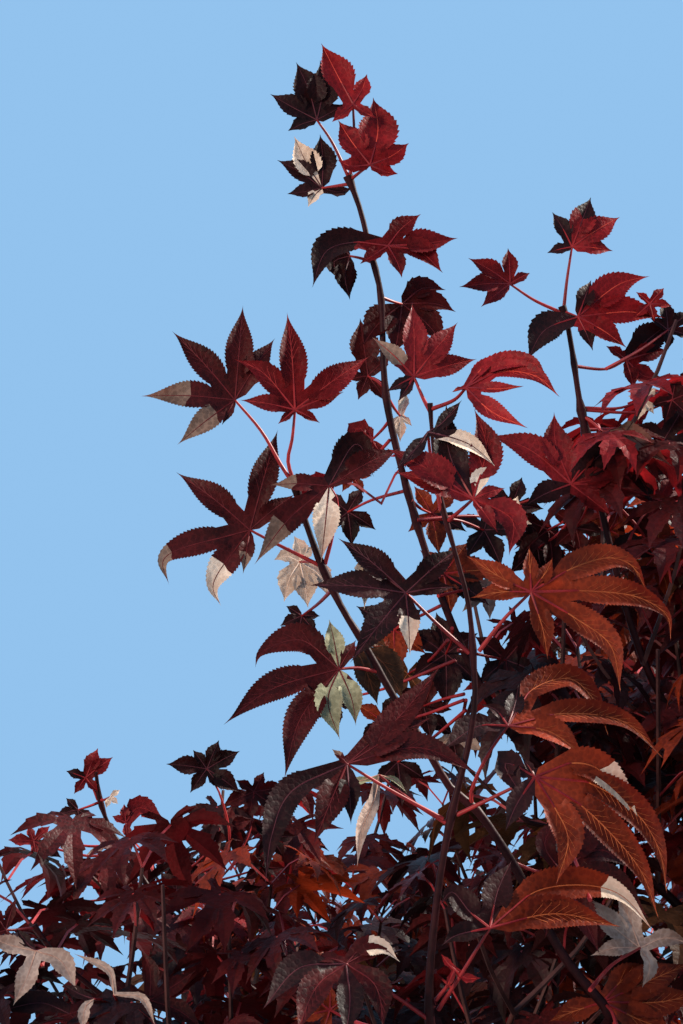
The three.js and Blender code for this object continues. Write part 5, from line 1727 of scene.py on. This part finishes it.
# Chips: the least of each half length, breadth and height with the most that is added, and how they lie
CHIPS = 520
CHIP_SEED = 5150
CHIP_CORNERS = 7
CHIP_LENGTH = (4, 9)
CHIP_BREADTH = (2.5, 4)
CHIP_HEIGHT = (0.8, 1.4)
CHIP_BULGE = 1.06
CHIP_CROWN = 0.8
CHIP_RIDGE = 1.25
CHIP_TILT = 36
CHIP_OUT = 0.4
CHIP_FROM_WALL = 14
CHIP_OUTWARD = 0.6


def soil_height(x, y):
    """The soil's top: a low mound round the trunk, settled a little unevenly, level at the pot's wall."""
    radius = math.hypot(x, y)
    mound = SOIL_MOUND * min(1, (SOIL_EDGE - radius) / (SOIL_EDGE - SOIL_FLAT_RADIUS))
    place = Vector((x, y, SOIL_LEVEL + mound))
    inside = min(1, (SOIL_EDGE - radius) / SOIL_CALM_EDGE)
    swell, crumb = (height * noise.noise(place * pitch) for height, pitch in (SOIL_SWELLS, SOIL_CRUMBS))
    return place.z + inside * (swell + crumb)


def soil_piece():
    """A mounded round of potting mix."""
    foot = POT_FLOOR + 1
    profile = [(0, foot), (outer_radius(foot) - POT_WALL - SOIL_CLEARANCE, foot)]
    profile += [(radius, SOIL_LEVEL) for radius in SOIL_EDGE * np.linspace(1, SOIL_INNERMOST, SOIL_RINGS)]
    points, triangles = lathe([*profile, (0, SOIL_LEVEL)], SOIL_TURNS)
    for index in np.flatnonzero(points[:, 2] == SOIL_LEVEL):
        points[index, 2] = soil_height(*points[index, :2])
    skin = plain_surface("potting_mix", (0.013, 0.008, 0.0055), (0.055, 0.034, 0.022), 120, 0.95, 0.9, 0.002)
    dressed(make_piece("potting_mix", points, triangles, [skin]), "potting_mix", "soil")


def bark_chip(draw):
    """A flat, split chip of bark with worn corners, about the origin."""
    length = CHIP_LENGTH[0] + CHIP_LENGTH[1] * draw() ** 2
    breadth = CHIP_BREADTH[0] + CHIP_BREADTH[1] * draw()
    lift = (CHIP_HEIGHT[0] + CHIP_HEIGHT[1] * draw()) * UP
    turns = np.array([2 * np.pi * (corner + 0.5 * draw()) / CHIP_CORNERS for corner in range(CHIP_CORNERS)])
    ring = np.stack([length * np.cos(turns), breadth * np.sin(turns), 0 * turns], -1)
    rings = np.stack([ring - lift, CHIP_BULGE * ring, CHIP_CROWN * ring + lift])
    return closed_rings(rings, -lift, CHIP_RIDGE * lift)


def chips_piece():
    """Chips of bark strewn over the soil, each sunk a little in it."""
    draw = seeded(CHIP_SEED)
    heap = Heap()
    for _ in range(CHIPS):
        points, triangles = bark_chip(draw)
        radius = mix(SOIL_FLAT_RADIUS, SOIL_EDGE - CHIP_FROM_WALL, draw() ** CHIP_OUTWARD)
        turn, spin, tip = 360 * draw(), 360 * draw(), CHIP_TILT * (draw() - 0.5)
        x, y, _ = radius * aim(turn)
        points = np.array([turned(turned(point, RIGHT, tip), UP, spin) for point in points])
        heap.add(points + np.array([x, y, soil_height(x, y) + CHIP_OUT]), triangles)
    skin = plain_surface("bark_chips", (0.026, 0.012, 0.008), (0.11, 0.056, 0.034), 60, 0.85, 0.8, 0.0012)
    for piece in heap.pieces("bark_chips", [skin], smooth=False):
        dressed(piece, "potting_mix", "soil")


pot_piece()
soil_piece()
chips_piece()


# Stage and light
FLOOR_RADIUS = 14000
FLOOR_LEVEL = -0.5
FLOOR_DEPTH = 11.5
FLOOR_SIDES = 96
FLOOR_COLOUR = (0.27, 0.28, 0.295, 1)
FLOOR_ROUGHNESS = 0.9
SKY_COLOUR = (0.30, 0.56, 0.88, 1)
SKY_STRENGTH = 0.97
# Each light: where it is and what it looks at, how wide it is, in metres, then its power and its colour
LIGHTS = {
    "key": ((8.4, 2.4, 8.9), (0, 0, 1.3), 0.85, 5840, (1.0, 0.93, 0.82)),
    "fill": ((-6.8, -6.0, 4.0), (0, 0, 1.2), 2.0, 860, (1.0, 0.80, 0.62)),
}


def stage_floor():
    foot, top = FLOOR_LEVEL - FLOOR_DEPTH, FLOOR_LEVEL
    profile = [(0, foot), (FLOOR_RADIUS, foot), (FLOOR_RADIUS, top), (0, top)]
    points, triangles = lathe(profile, FLOOR_SIDES)
    skin = Surface("pale_floor")
    sockets = {"Base Color": FLOOR_COLOUR, "Roughness": FLOOR_ROUGHNESS}
    shade = skin.node("ShaderNodeBsdfPrincipled", (), sockets)
    make_piece("floor", points, triangles, [skin.finish(shade)])


def soft_light(name, place, target, size, power, colour):
    data = bpy.data.lights.new(name, "AREA")
    data.shape = "DISK"
    data.size = size
    data.energy = power
    data.color = colour
    light = bpy.data.objects.new(name, data)
    light.location = place
    light.rotation_euler = (Vector(target) - Vector(place)).to_track_quat("-Z", "Y").to_euler()
    bpy.context.scene.collection.objects.link(light)


def light_stage():
    world = bpy.data.worlds.new("pale_sky")
    world.use_nodes = True
    sky = world.node_tree.nodes["Background"].inputs
    sky["Color"].default_value = SKY_COLOUR
    sky["Strength"].default_value = SKY_STRENGTH
    bpy.context.scene.world = world
    for name, settings in LIGHTS.items():
        soft_light(name, *settings)


stage_floor()
light_stage()
bpy.context.scene.view_settings.view_transform = "Standard"
